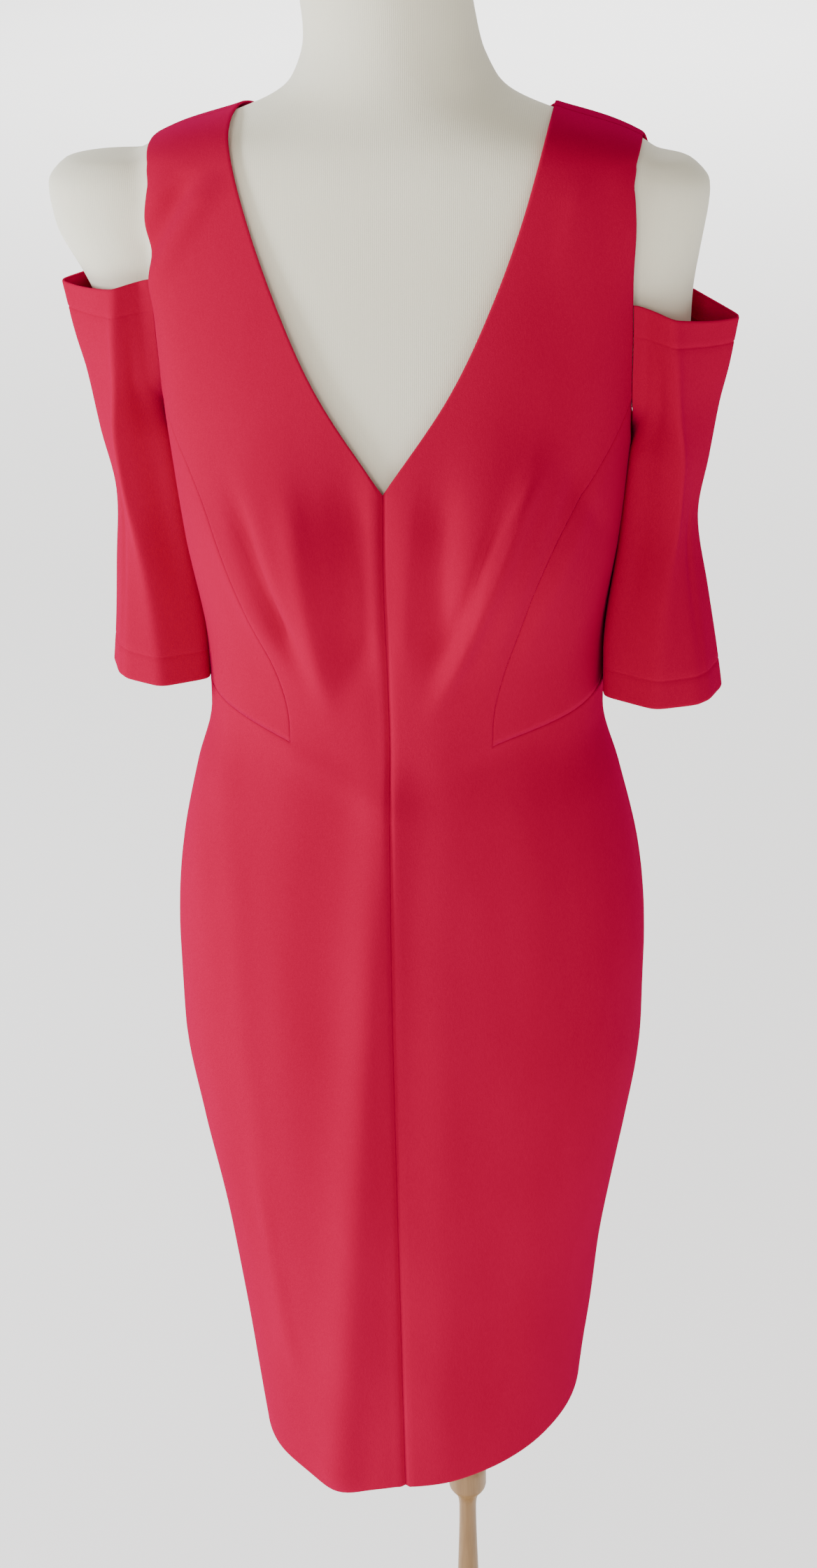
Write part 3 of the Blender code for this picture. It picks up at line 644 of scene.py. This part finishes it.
def skirt_net(waist, side, even):
    """Rows from the waist down to the hem, whose columns ease towards even ones."""
    drop = graded(SKIRT_LENGTH, SKIRT_ROWS)[0][:, None]
    angle = waist[None, :, 0] + (even - waist[None, :, 0]) * ease(drop / COLUMNS_EVEN_BY)
    end = hem_height(angle, side)
    height = waist[None, :, 1] + (end - waist[None, :, 1]) * drop
    return np.stack([angle, height], axis=-1)


def front_panel(name, side):
    inner, outer = front_edges()
    upper = net_between(inner, outer, STRAP_COLUMNS)
    waist = np.vstack([upper[-1], waist_seam()[1:]])
    even = graded(SKIRT_ARC, len(waist)) * 90.0
    skirt = skirt_net(waist, side, even)
    base = skin(upper[..., 0] * side, upper[..., 1])
    strap = np.arange(len(upper))[:, None] < STRAP_ROWS
    dip = np.zeros(upper.shape[:2])
    for edge, deep, wide in (("inner", CENTRE_DIP, CENTRE_WIDE), ("outer", SEAM_DIP, SEAM_WIDE)):
        away = edge_distance(base, [edge])
        dip += np.where(strap, edge_dip(away, TURN_DIP, TURN_WIDE), edge_dip(away, deep, wide))
    upper_points = on_dress(upper, side, ["top"], [])
    upper_points = upper_points - outward(upper[..., 0] * side, upper[..., 1]) * dip[..., None]
    skirt_points = on_dress(skirt, side, ["outer"], ["bottom"])
    sewn = edge_dip(edge_distance(skirt_points, ["top"]), SEAM_DIP, SEAM_WIDE)
    sewn[:, :STRAP_COLUMNS] = 0
    sewn += edge_dip(edge_distance(skirt_points, ["inner"]), CENTRE_DIP, CENTRE_WIDE)
    skirt_points = skirt_points - outward(skirt[..., 0] * side, skirt[..., 1]) * sewn[..., None]
    ids_upper = numbered(upper)
    ids_skirt = np.empty(skirt.shape[:2], int)
    width = len(upper[-1])
    ids_skirt[0, :width] = ids_upper[-1]
    fresh = np.ones(skirt.shape[:2], bool)
    fresh[0, :width] = False
    ids_skirt[fresh] = ids_upper.size + np.arange(fresh.sum())
    points = np.vstack([upper_points.reshape(-1, 3), skirt_points[fresh]])
    return as_cloth(add_mesh(name, points, faces_of(ids_upper) + faces_of(ids_skirt), crepe))


fronts = both_sides(front_panel, "front_panel")

# %% [markdown]
# ## The set-in side panels
# These small pieces shape the bust. They hang from the lower armhole, and end in a point at the
# corner where the princess seam meets the waist seam.

# %% Side front panels
SIDE_COLUMNS, ARM_EDGE_LENGTH, ARM_SHARE = 34, 0.05, 0.6


def side_front_panel(name, side):
    heights = np.linspace(PRINCESS_TOP, CORNER_WAIST, BODICE_ROWS + 1)
    inner = np.stack([princess_angle(heights), heights], axis=-1)
    side_heights = np.linspace(UNDERARM, SIDE_WAIST, BODICE_ROWS + 1)
    outer = np.stack([np.full(len(heights), 90.0), side_heights], axis=-1)
    net = net_between(inner, outer, SIDE_COLUMNS)
    share = graded(ARM_EDGE_LENGTH, SIDE_COLUMNS)[0]
    arm_heights = PRINCESS_TOP + (UNDERARM - PRINCESS_TOP) * share
    arm_line = np.stack([read_smooth(ARMHOLE, arm_heights)[:, 0], arm_heights], axis=-1)
    seam = waist_seam()
    seam_share = (seam[:, 0] - seam[0, 0]) / (90 - seam[0, 0])
    waist_share = (net[-1, :, 0] - net[-1, 0, 0]) / (90 - net[-1, 0, 0])
    waist_line = np.stack([net[-1, :, 0], np.interp(waist_share, seam_share, seam[:, 1])], axis=-1)
    down = np.linspace(0, 1, len(net))[:, None, None]
    to_arm = (arm_line - net[0]) * (1 - ease(down / ARM_SHARE))
    to_waist = (waist_line - net[-1]) * ease((down - ARM_SHARE) / (1 - ARM_SHARE))
    net = net + to_arm + to_waist
    points = on_dress(net, side, ["inner", "outer", "bottom", "top"], [])
    return as_cloth(add_mesh(name, points, faces_of(numbered(net)), crepe))


side_fronts = both_sides(side_front_panel, "side_panel")

# %% [markdown]
# ## The backs
# The photograph doesn't show the back. A sheath of this cut has two plain backs with a seam
# down the middle, a shallow round neck and the same armhole, so that is what is laid here.

# %% Back panels
BACK_COLUMNS = 50
BACK_NECK_SHARE = 0.7


def back_edges():
    neck_rows = round(STRAP_ROWS * BACK_NECK_SHARE)
    neck_low = BACK_NECKLINE[0, 0]
    z_in = strap_heights(crest_height(CREST_NECK), neck_low, neck_rows)
    angle_in = neckline_angle(z_in, BACK_NECKLINE, behind=True)
    z_in = np.append(z_in, np.linspace(neck_low, UNDERARM, STRAP_ROWS - neck_rows + 1))
    z_in = np.append(z_in, np.linspace(UNDERARM, BACK_WAIST, BODICE_ROWS + 1)[1:])
    angle_in = np.append(angle_in, np.full(len(z_in) - neck_rows, 180.0))
    z_out = strap_heights(crest_height(CREST_TIP), UNDERARM, STRAP_ROWS)
    angle_out = armhole_angle(z_out, behind=True)
    z_out = np.append(z_out, np.linspace(UNDERARM, SIDE_WAIST, BODICE_ROWS + 1))
    angle_out = np.append(angle_out, np.full(BODICE_ROWS + 1, 90.0))
    return np.stack([angle_out, z_out], axis=-1), np.stack([angle_in, z_in], axis=-1)


def back_panel(name, side):
    outer, inner = back_edges()
    upper = net_between(outer, inner, BACK_COLUMNS)
    skirt = skirt_net(upper[-1], side, 90.0 + graded(SKIRT_ARC, BACK_COLUMNS) * 90.0)
    net = np.vstack([upper, skirt[1:]])
    points = on_dress(net, side, ["inner", "outer", "top"], ["bottom"])
    return as_cloth(add_mesh(name, points, faces_of(numbered(net)), crepe))


backs = both_sides(back_panel, "back_panel")

# %% [markdown]
# ## The sleeves
# A cold shoulder sleeve is sewn only to the lower half of the armhole. Its top edge stands open
# and folds sharply at the outer corner. With no arm inside, the cloth collapses along a slanting
# fold and flares again to the cuff. Each level section is drawn as a maker would crease paper:
# straight runs between the places where the cloth turns, which are then softened.

# %% Sleeve sections
# height, x and y where it turns in front, x and y of the outer fold, x and y where it turns behind
SLEEVE = np.array([
    (1.0310, 0.166, -0.0500, 0.2115, -0.002, 0.180, 0.052),
    (1.0550, 0.167, -0.0480, 0.2080, -0.002, 0.177, 0.051),
    (1.1050, 0.172, -0.0420, 0.2010, -0.003, 0.176, 0.046),
    (1.1550, 0.181, -0.0325, 0.1945, -0.003, 0.178, 0.040),
    (1.1950, 0.183, -0.0360, 0.2005, -0.004, 0.184, 0.037),
    (1.2350, 0.178, -0.0420, 0.2070, -0.006, 0.184, 0.037),
    (1.2620, 0.176, -0.0460, 0.2120, -0.010, 0.186, 0.037),
    (1.3025, 0.174, -0.0480, 0.2175, -0.014, 0.188, 0.034),
])
# How far the front is tucked in beside the armhole, and where the sewn edges turn away from it.
SLEEVE_VALLEY = 0.0030
SLEEVE_INNER_SHARE, SLEEVE_SEAM_SHARE = 0.62, 0.35
SLEEVE_FRONT_LEAN, SLEEVE_BACK_LEAN = -0.0030, -0.0045
SLEEVE_SEAT, SLEEVE_OFF_BODY, SLEEVE_CLOSING = 0.0014, 0.0021, 0.045
CUFF_ROUND, CUFF_ROUND_TO = 0.014, 1.150
RIM_DROP, RIM_DROP_FROM = 0.011, 1.235
RIM_TILT, CUFF_TILT, CUFF_SWING = 0.045, 0.020, 0.006
SLEEVE_RUN, SLEEVE_SOFTENING = 22, 16


def softened(knots):
    """Points along the straight runs between knots, with the turns rounded and the ends kept."""
    shares = np.arange(SLEEVE_RUN)[:, None] / SLEEVE_RUN
    runs = [start + (end - start) * shares for start, end in zip(knots, knots[1:])]
    line = np.vstack(runs + [knots[-1]])
    for _ in range(SLEEVE_SOFTENING):
        line[1:-1] = (line[:-2] + 2 * line[1:-1] + line[2:]) / 4
    return line


def sleeve_knots(height):
    """Where the wearer's left sleeve turns at a height, seen from above, from its front seam round."""
    front_x, front_y, fold_x, fold_y, back_x, back_y = read_smooth(SLEEVE, height)
    front, fold = np.array([front_x, front_y]), np.array([fold_x, fold_y])
    back = np.array([back_x, back_y])
    inner = read_smooth(BODY, min(height, UNDERARM))[0] + SLEEVE_OFF_BODY
    middle = np.array([inner, 0.0])
    near_front = np.array([inner + SLEEVE_FRONT_LEAN, front_y * SLEEVE_INNER_SHARE])
    near_back = np.array([inner + SLEEVE_BACK_LEAN, back_y * SLEEVE_INNER_SHARE])
    run = front - fold
    across = np.array([-run[1], run[0]]) / math.hypot(*run)
    rounding = ease((CUFF_ROUND_TO - height) / (CUFF_ROUND_TO - SLEEVE[0, 0]))
    corner = (fold + front) / 2 + across * CUFF_ROUND * rounding
    if height <= UNDERARM:
        return [middle, near_front, front, corner, fold, back, near_back, middle]
    opened = ease((height - UNDERARM) / SLEEVE_CLOSING)
    angles = read_smooth(ARMHOLE, height)
    seams = skin(angles, height) + outward(angles, height) * SLEEVE_SEAT
    front_seam, back_seam = [middle + (seam[:2] - middle) * opened for seam in seams]
    sewn_front = front_seam + (front - front_seam) * SLEEVE_SEAM_SHARE + (0.0, SLEEVE_VALLEY)
    sewn_back = back_seam + (back - back_seam) * SLEEVE_SEAM_SHARE
    near_front = near_front + (sewn_front - near_front) * opened
    near_back = near_back + (sewn_back - near_back) * opened
    return [front_seam, near_front, front, corner, fold, back, near_back, back_seam]


print("sleeve turns at", len(sleeve_knots(1.25)), "places")

# %% [markdown]
# ## The sleeve's cloth
# The open top edge is turned in and stitched down twenty millimetres below the fold, and the
# cuff is turned the same way. The stitch line is a groove, so the net has rows for it.

# %% Sleeves
STITCH_BELOW, STITCH_DEEP, STITCH_WIDE = 0.020, 0.00045, 0.0009
SLEEVE_ROWS, SLEEVE_RIPPLE = 56, 1.4
# place round the sleeve (0 front seam, 1 back seam), upper and lower height, depth, half width
SLEEVE_FOLDS = np.array([
    (0.30, 1.262, 1.165, 0.0012, 0.020),
    (0.20, 1.235, 1.120, -0.0016, 0.030),
    (0.43, 1.130, 1.020, -0.0014, 0.024),
    (0.60, 1.180, 1.050, 0.0014, 0.026),
    (0.70, 1.270, 1.140, -0.0020, 0.030),
    (0.80, 1.160, 1.030, 0.0016, 0.030),
])


def sleeve_heights():
    """Row heights with fine rows at both ends and at the two stitch lines."""
    low, high = SLEEVE[0, 0], SLEEVE[-1, 0]
    groove = STITCH_BELOW + np.linspace(-1.5, 1.5, 5) * STITCH_WIDE
    rows = high - (high - low) * graded(high - low, SLEEVE_ROWS)[0]
    return np.unique(np.concatenate([rows, high - groove, low + groove, [UNDERARM]]))[::-1]


def sleeve(name, side):
    heights = sleeve_heights()
    flat = np.array([softened(sleeve_knots(height)) for height in heights])
    share = np.linspace(0, 1, flat.shape[1])[None, :]
    lift = np.zeros(flat.shape[:2])
    for place, high, low, deep, wide in SLEEVE_FOLDS:
        past = np.maximum(np.maximum(heights - high, low - heights), 0.0)[:, None]
        lift += deep * np.exp(-((share - place) / wide)**2 - (past / CREASE_FADE)**2)
    from_end = np.minimum(heights[0] - heights, heights - heights[-1])[:, None]
    lift -= STITCH_DEEP * np.exp(-((from_end - STITCH_BELOW) / STITCH_WIDE)**2)
    lift -= edge_dip(from_end, TURN_DIP, TURN_WIDE)
    along = np.gradient(flat, axis=1)
    away = np.stack([-along[..., 1], along[..., 0]], axis=-1)
    away = away / np.linalg.norm(away, axis=-1, keepdims=True)
    away *= np.where(((flat - flat.mean(axis=1, keepdims=True)) * away).sum() < 0, -1.0, 1.0)
    level = np.broadcast_to(heights[:, None], lift.shape)
    lift = lift + ripple(np.dstack([flat, level])) * SLEEVE_RIPPLE
    flat = flat + away * (lift * np.sin(math.pi * share)**0.5)[..., None]
    cuff_level, rim_level = SLEEVE[0, 0], SLEEVE[-1, 0]
    rim = np.maximum((heights - RIM_DROP_FROM) / (rim_level - RIM_DROP_FROM), 0.0)[:, None]
    tilt = CUFF_TILT + (RIM_TILT - CUFF_TILT) * (level - cuff_level) / (rim_level - cuff_level)
    drop = RIM_DROP * rim * np.sin(math.pi * share)**2
    swing = CUFF_SWING * ease((UNDERARM - level) / (UNDERARM - cuff_level)) * np.sin(math.pi * share)
    points = np.dstack([flat[..., 0] * side + swing, flat[..., 1],
                        level - drop - tilt * flat[..., 0] * side])
    ids = numbered(points)
    closed = heights <= UNDERARM
    ids[closed, -1] = ids[closed, 0]
    piece = add_mesh(name, points, faces_of(ids), crepe)
    mend(piece, lambda mesh: bmesh.ops.delete(
        mesh, geom=[point for point in mesh.verts if not point.link_faces], context="VERTS"))
    return as_cloth(piece, axis_x=side * float(flat[-1, :, 0].mean()))


sleeves = both_sides(sleeve, "short_sleeve")

# %% [markdown]
# ## The form's cream cover
# The form is padded and covered with cream jersey, whose fine ribs run up and down. A wave
# texture gives the ribs and a small noise the fuzz. Both are faint, because the photograph
# shows the cover as almost plain, with a slow change of tone.

# %% Form material
COVER_LIGHT, COVER_DARK = (0.950, 0.925, 0.770), (0.900, 0.865, 0.690)


def cream_cover():
    graph = Graph("cream_cover", Sheen_Weight=0.15, Sheen_Roughness=0.6, Specular_IOR_Level=0.2)
    tone = graph.noise(5.0, detail=4.0)
    rib = graph.add("ShaderNodeTexWave", {"wave_type": "BANDS", "bands_direction": "X"},
                    {"Vector": graph.place(), "Scale": 260.0, "Distortion": 1.2, "Detail": 1.0})
    knit = rib * 0.5 + graph.noise(1300.0, detail=2.0) * 0.5
    shade = graph.between(0.3, 0.7, tone) * 0.8 + knit * 0.2
    return graph.finish(Base_Color=graph.mix(shade, COVER_DARK, COVER_LIGHT),
                        Roughness=knit * 0.1 + 0.78, Normal=graph.bump(knit, 0.00025, 0.4))


cover = cream_cover()
print("material", cover.name)

# %% [markdown]
# ## The form's shape
# The form is a limbless figure with a neck and two short caps where the shoulders end. A ring of
# points at each height, read from the dress's own tables and set a few millimetres in, leaves
# the cloth clear of it all round. Each cap is a stack of ovals with its own reach. A Boolean
# joins them, a voxel remesh welds all into one skin, and smoothing rounds it as padding would.

# %% Form
CLEAR_AT_CREST, CLEAR_SHOULDER, CLEAR_BELOW = 0.0009, 0.0030, 0.0062
CLEAR_LEVEL, CREST_SPREAD = 1.300, 9.0
FORM_BOTTOM, FORM_TOP, FORM_TURNS = 0.745, 1.500, 180
# lowest and highest ring of each stretch of the form, and how many rings it has
FORM_STRETCHES = ((FORM_BOTTOM, 1.370, 110), (1.372, 1.430, 50), (1.435, FORM_TOP, 16))
CAP_RINGS, FORM_VOXEL, PADDING_SOFT, PADDING_ROUNDS = 60, 0.0040, 0.5, 6
NECK_LEAN, NECK_LEAN_FROM = -0.011, 1.420
# height, middle in x, half width and half depth of a shoulder cap
CAP = np.array([
    (1.222, 0.150, 0.010, 0.012), (1.232, 0.151, 0.021, 0.023), (1.255, 0.153, 0.030, 0.030),
    (1.300, 0.155, 0.039, 0.034), (1.340, 0.158, 0.046, 0.037), (1.360, 0.159, 0.047, 0.036),
    (1.371, 0.159, 0.040, 0.031), (1.3785, 0.160, 0.024, 0.020), (1.3800, 0.160, 0.012, 0.010),
])
# height, and how much further out a cap reaches on the wearer's left and on the right
CAP_REACH = np.array([
    (1.255, 0.0, 0.0), (1.300, -0.008, 0.006), (1.340, -0.012, 0.015), (1.360, -0.012, 0.015),
])


def clearance(angle, height):
    """How far the form stays inside the body line: least under the shoulder seams."""
    share = np.clip((height - CLEAR_LEVEL) / (CREST_LEVEL - CLEAR_LEVEL), 0, 1)
    usual = CLEAR_BELOW + (CLEAR_SHOULDER - CLEAR_BELOW) * share
    near_seam = np.exp(-((abs(angle) - 90) / CREST_SPREAD)**2) * share
    return usual + (CLEAR_AT_CREST - usual) * near_seam


def closed_rings(name, rings, finish):
    """A closed solid through rings of points, with a fan at each end."""
    rings = np.asarray(rings)
    rows, count = rings.shape[:2]
    ids = numbered(rings)
    ids = np.hstack([ids, ids[:, :1]])
    faces = faces_of(ids)
    ends = [rings[0].mean(axis=0), rings[-1].mean(axis=0)]
    for row, centre in ((0, rows * count), (-1, rows * count + 1)):
        faces += [[int(ids[row, k]), int(ids[row, k + 1]), centre] for k in range(count)]
    piece = add_mesh(name, np.vstack([rings.reshape(-1, 3), ends]), faces, finish)
    mend(piece, lambda mesh: bmesh.ops.recalc_face_normals(mesh, faces=mesh.faces))
    return piece


def circle_shares(count, start=0.0, whole=math.tau):
    """Places round a circle, with the last left out because it would meet the first."""
    return np.linspace(start, start + whole, count + 1)[:-1]


def build_form():
    turns = circle_shares(FORM_TURNS, -180, 360)[None, :]
    heights = np.concatenate([np.linspace(*stretch) for stretch in FORM_STRETCHES])[:, None]
    rings = skin(turns, heights) - outward(turns, heights) * clearance(turns, heights)[..., None]
    leaning = np.clip((heights - NECK_LEAN_FROM) / (FORM_TOP - NECK_LEAN_FROM), 0, 1)
    rings[..., 0] += NECK_LEAN * leaning**2
    torso = closed_rings("form", rings, cover)
    for column, side in enumerate((1, -1)):
        fine = np.linspace(CAP[0, 0], CAP[-1, 0], CAP_RINGS)
        middle, wide, deep = np.moveaxis(read_smooth(CAP, fine), -1, 0)[..., None]
        reach = read_smooth(CAP_REACH, fine)[:, column, None]
        middle, wide = middle + reach / 2, wide + reach / 2
        round_cap = circle_shares(CAP_RINGS)[None, :]
        cap_rings = np.stack([side * middle + wide * np.sin(round_cap), deep * np.cos(round_cap),
                              np.broadcast_to(fine[:, None], (CAP_RINGS, CAP_RINGS))], axis=-1)
        cap = closed_rings("cap", cap_rings, cover)
        joined = torso.modifiers.new("cap", "BOOLEAN")
        joined.operation = "UNION"
        joined.object = cap
    remesh = torso.modifiers.new("one skin", "REMESH")
    remesh.mode = "VOXEL"
    remesh.voxel_size = FORM_VOXEL
    soften = torso.modifiers.new("padding", "SMOOTH")
    soften.factor = PADDING_SOFT
    soften.iterations = PADDING_ROUNDS
    finished = torso.evaluated_get(bpy.context.evaluated_depsgraph_get())
    settled = bpy.data.meshes.new_from_object(finished)
    for thing in [o for o in bpy.data.objects if o.name.startswith("cap")]:
        bpy.data.objects.remove(thing, do_unlink=True)
    torso.modifiers.clear()
    torso.data = settled
    settled.materials.clear()
    settled.materials.append(cover)
    settled.shade_smooth()
    return torso


form = build_form()
print("form faces", len(form.data.polygons))

# %% [markdown]
# ## The wooden stand
# The stand is light oiled oak. The grain runs up the post and across the round base, so each
# gets its own noise, stretched along the grain, with fine pores over broad bands.

# %% Wood material
OAK_LIGHT, OAK_DARK = (0.400, 0.235, 0.092), (0.230, 0.120, 0.042)


def oiled_oak(name, stretch):
    graph = Graph(name, Coat_Weight=0.15, Coat_Roughness=0.35)
    bands = graph.noise(46.0, detail=5.0, stretch=stretch, roughness=0.6)
    pores = graph.noise(420.0, detail=2.0, stretch=stretch)
    grain = graph.between(0.30, 0.70, bands) * 0.75 + graph.between(0.35, 0.62, pores) * 0.25
    return graph.finish(Base_Color=graph.mix(grain, OAK_DARK, OAK_LIGHT),
                        Roughness=0.55 - grain * 0.15, Normal=graph.bump(grain, 0.0003, 0.5))


oak_post = oiled_oak("oak_upright", (1.0, 1.0, 0.06))
oak_flat = oiled_oak("oak_flat", (0.07, 1.0, 1.0))
print("materials", oak_post.name, oak_flat.name)

# %% [markdown]
# ## The stand's shape
# The form stands on one turned post. A lathe spins a profile about an axis, and the Screw
# modifier does the same to one line of radii and heights, with a soft ring for the bead under
# the hem. The round foot is below the picture's edge and kept plain: a low plate with a raised
# middle, wide enough not to tip. A thin plate closes the form and sits on the post.

# %% Stand
POST_X = 0.038
POST = np.array([
    (0.0283, 0.0240), (0.0400, 0.0235), (0.0520, 0.0150), (0.0800, 0.0120), (0.1400, 0.0105),
    (0.2000, 0.0085), (0.2620, 0.0071), (0.2780, 0.0092), (0.2900, 0.0155), (0.3060, 0.0155),
    (0.3180, 0.0125), (0.3400, 0.0125),
])
BASE = [(0.0000, 0.0280), (0.0500, 0.0280), (0.0640, 0.0230), (0.1360, 0.0200), (0.1460, 0.0150),
        (0.1500, 0.0080), (0.1480, 0.0000), (0.0000, 0.0000)]
POST_ROWS, POST_TURNS, BASE_TURNS, PLATE_TURNS = 120, 64, 128, 120
PLATE_THICK, PLATE_INSET, PLATE_ROUND, SEAT_GAP = 0.012, 0.004, 0.003, 0.0003


def turned(name, outline, steps, finish):
    """A lathe shape from pairs of radius and height, about the post's axis."""
    mesh = bpy.data.meshes.new(name)
    mesh.from_pydata([(radius, 0.0, height) for radius, height in outline],
                     [(k, k + 1) for k in range(len(outline) - 1)], [])
    piece = bpy.data.objects.new(name, mesh)
    piece.location = (POST_X, 0.0, 0.0)
    bpy.context.scene.collection.objects.link(piece)
    mesh.materials.append(finish)
    spin = piece.modifiers.new("turning", "SCREW")
    spin.steps = spin.render_steps = steps
    spin.use_merge_vertices = True
    spin.merge_threshold = 0.00005
    spin.use_smooth_shade = True
    return piece


plate_low = FORM_BOTTOM - SEAT_GAP - PLATE_THICK
post_top = plate_low - SEAT_GAP
post_heights = np.linspace(POST[0, 0], POST[-1, 0], POST_ROWS)[::-1]
post_line = list(zip(read_smooth(POST, post_heights)[:, 0].tolist(), post_heights.tolist()))
post = turned("turned_post", [(0.0, post_top), (float(POST[-1, 1]), post_top)] + post_line
              + [(0.0, float(POST[0, 0]))], POST_TURNS, oak_post)
base = turned("round_base", BASE, BASE_TURNS, oak_flat)

turns = circle_shares(PLATE_TURNS, -180, 360)
near = PLATE_ROUND * 0.3
plate_rings = []
for height, extra in ((0.0, PLATE_ROUND), (near, near), (PLATE_ROUND, 0.0),
                      (PLATE_THICK - PLATE_ROUND, 0.0), (PLATE_THICK - near, near),
                      (PLATE_THICK, PLATE_ROUND)):
    inset = clearance(turns, FORM_BOTTOM) + PLATE_INSET + extra
    ring = skin(turns, FORM_BOTTOM) - outward(turns, FORM_BOTTOM) * inset[:, None]
    ring[:, 2] = plate_low + height
    plate_rings.append(ring)
plate = closed_rings("form_plate", plate_rings, oak_flat)
print("stand pieces", post.name, base.name, plate.name)

# %% [markdown]
# ## Telling the frame about each piece
# Every piece rides on the one body of this model and stands for its solid, whose node is hidden.

# %% Pieces
ROOT = "root"
for cut, pieces in (("front", fronts), ("side_front", side_fronts), ("back", backs),
                    ("sleeve", sleeves)):
    for word, piece in pieces.items():
        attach(piece, ROOT)
        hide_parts(f"{cut}_{word}")
for piece, node, slot in ((form, "form_torso", "cover"), (post, "post", "oak"),
                          (base, "base", "oak"), (plate, "base_plate", "oak")):
    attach(piece, ROOT)
    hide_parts(node)
print("dressed", len(frame["nodes"]), "nodes")

# %% [markdown]
# ## Floor and light
# A plain pale floor that reaches past the picture, and soft light mostly from the picture's
# left, which leaves the far side of the dress in a deeper red.

# %% Studio
FLOOR_HALF, FLOOR_LEVEL = 40.0, -0.001
FLOOR_DARK, FLOOR_LIGHT = (0.86, 0.86, 0.87), (0.90, 0.90, 0.90)
ROOM_COLOUR, ROOM_STRENGTH = (1.0, 0.95, 0.88, 1.0), 0.42


def pale_floor():
    graph = Graph("pale_floor", Specular_IOR_Level=0.1, Emission_Color=(1.0, 0.99, 0.97, 1.0),
                  Emission_Strength=0.85)
    tone = graph.noise(0.8, detail=2.0)
    return graph.finish(Base_Color=graph.mix(tone, FLOOR_DARK, FLOOR_LIGHT), Roughness=tone * 0.05 + 0.9)


corners = [(x * FLOOR_HALF, y * FLOOR_HALF, FLOOR_LEVEL) for x, y in ((-1, -1), (1, -1), (1, 1), (-1, 1))]
floor = add_mesh("floor", corners, [[0, 1, 2, 3]], pale_floor(), smooth=False)


def soft_light(name, place, aim, size, power, colour):
    """A square lamp at a place, turned to face the point it is aimed at."""
    light = bpy.data.lights.new(name, "AREA")
    light.shape = "SQUARE"
    light.size = size
    light.energy = power
    light.color = colour
    lamp = bpy.data.objects.new(name, light)
    away = np.array(place) - np.array(aim)
    lamp.location = place
    lamp.rotation_euler = (math.atan2(math.hypot(away[0], away[1]), away[2]), 0.0,
                           math.atan2(away[0], -away[1]))
    bpy.context.scene.collection.objects.link(lamp)


soft_light("window_light", (-3.0, -0.9, 1.7), (0.0, 0.0, 1.0), 0.8, 104.0, (0.90, 0.94, 1.0))
soft_light("fill_light", (-0.6, -3.2, 2.0), (0.0, 0.0, 0.9), 0.9, 34.0, (1.0, 0.92, 0.82))
soft_light("rim_light", (-1.8, 1.6, 1.6), (0.0, 0.0, 1.2), 1.0, 12.0, (0.90, 0.96, 1.0))
soft_light("floor_light", (0.0, 11.0, 6.0), (0.0, 11.0, 0.0), 10.0, 1800.0, (1.0, 1.0, 1.0))
world = bpy.data.worlds.new("soft_room")
world.use_nodes = True
room = world.node_tree.nodes["Background"]
room.inputs["Color"].default_value = ROOM_COLOUR
room.inputs["Strength"].default_value = ROOM_STRENGTH
bpy.context.scene.world = world
print("four soft lights and a pale room")
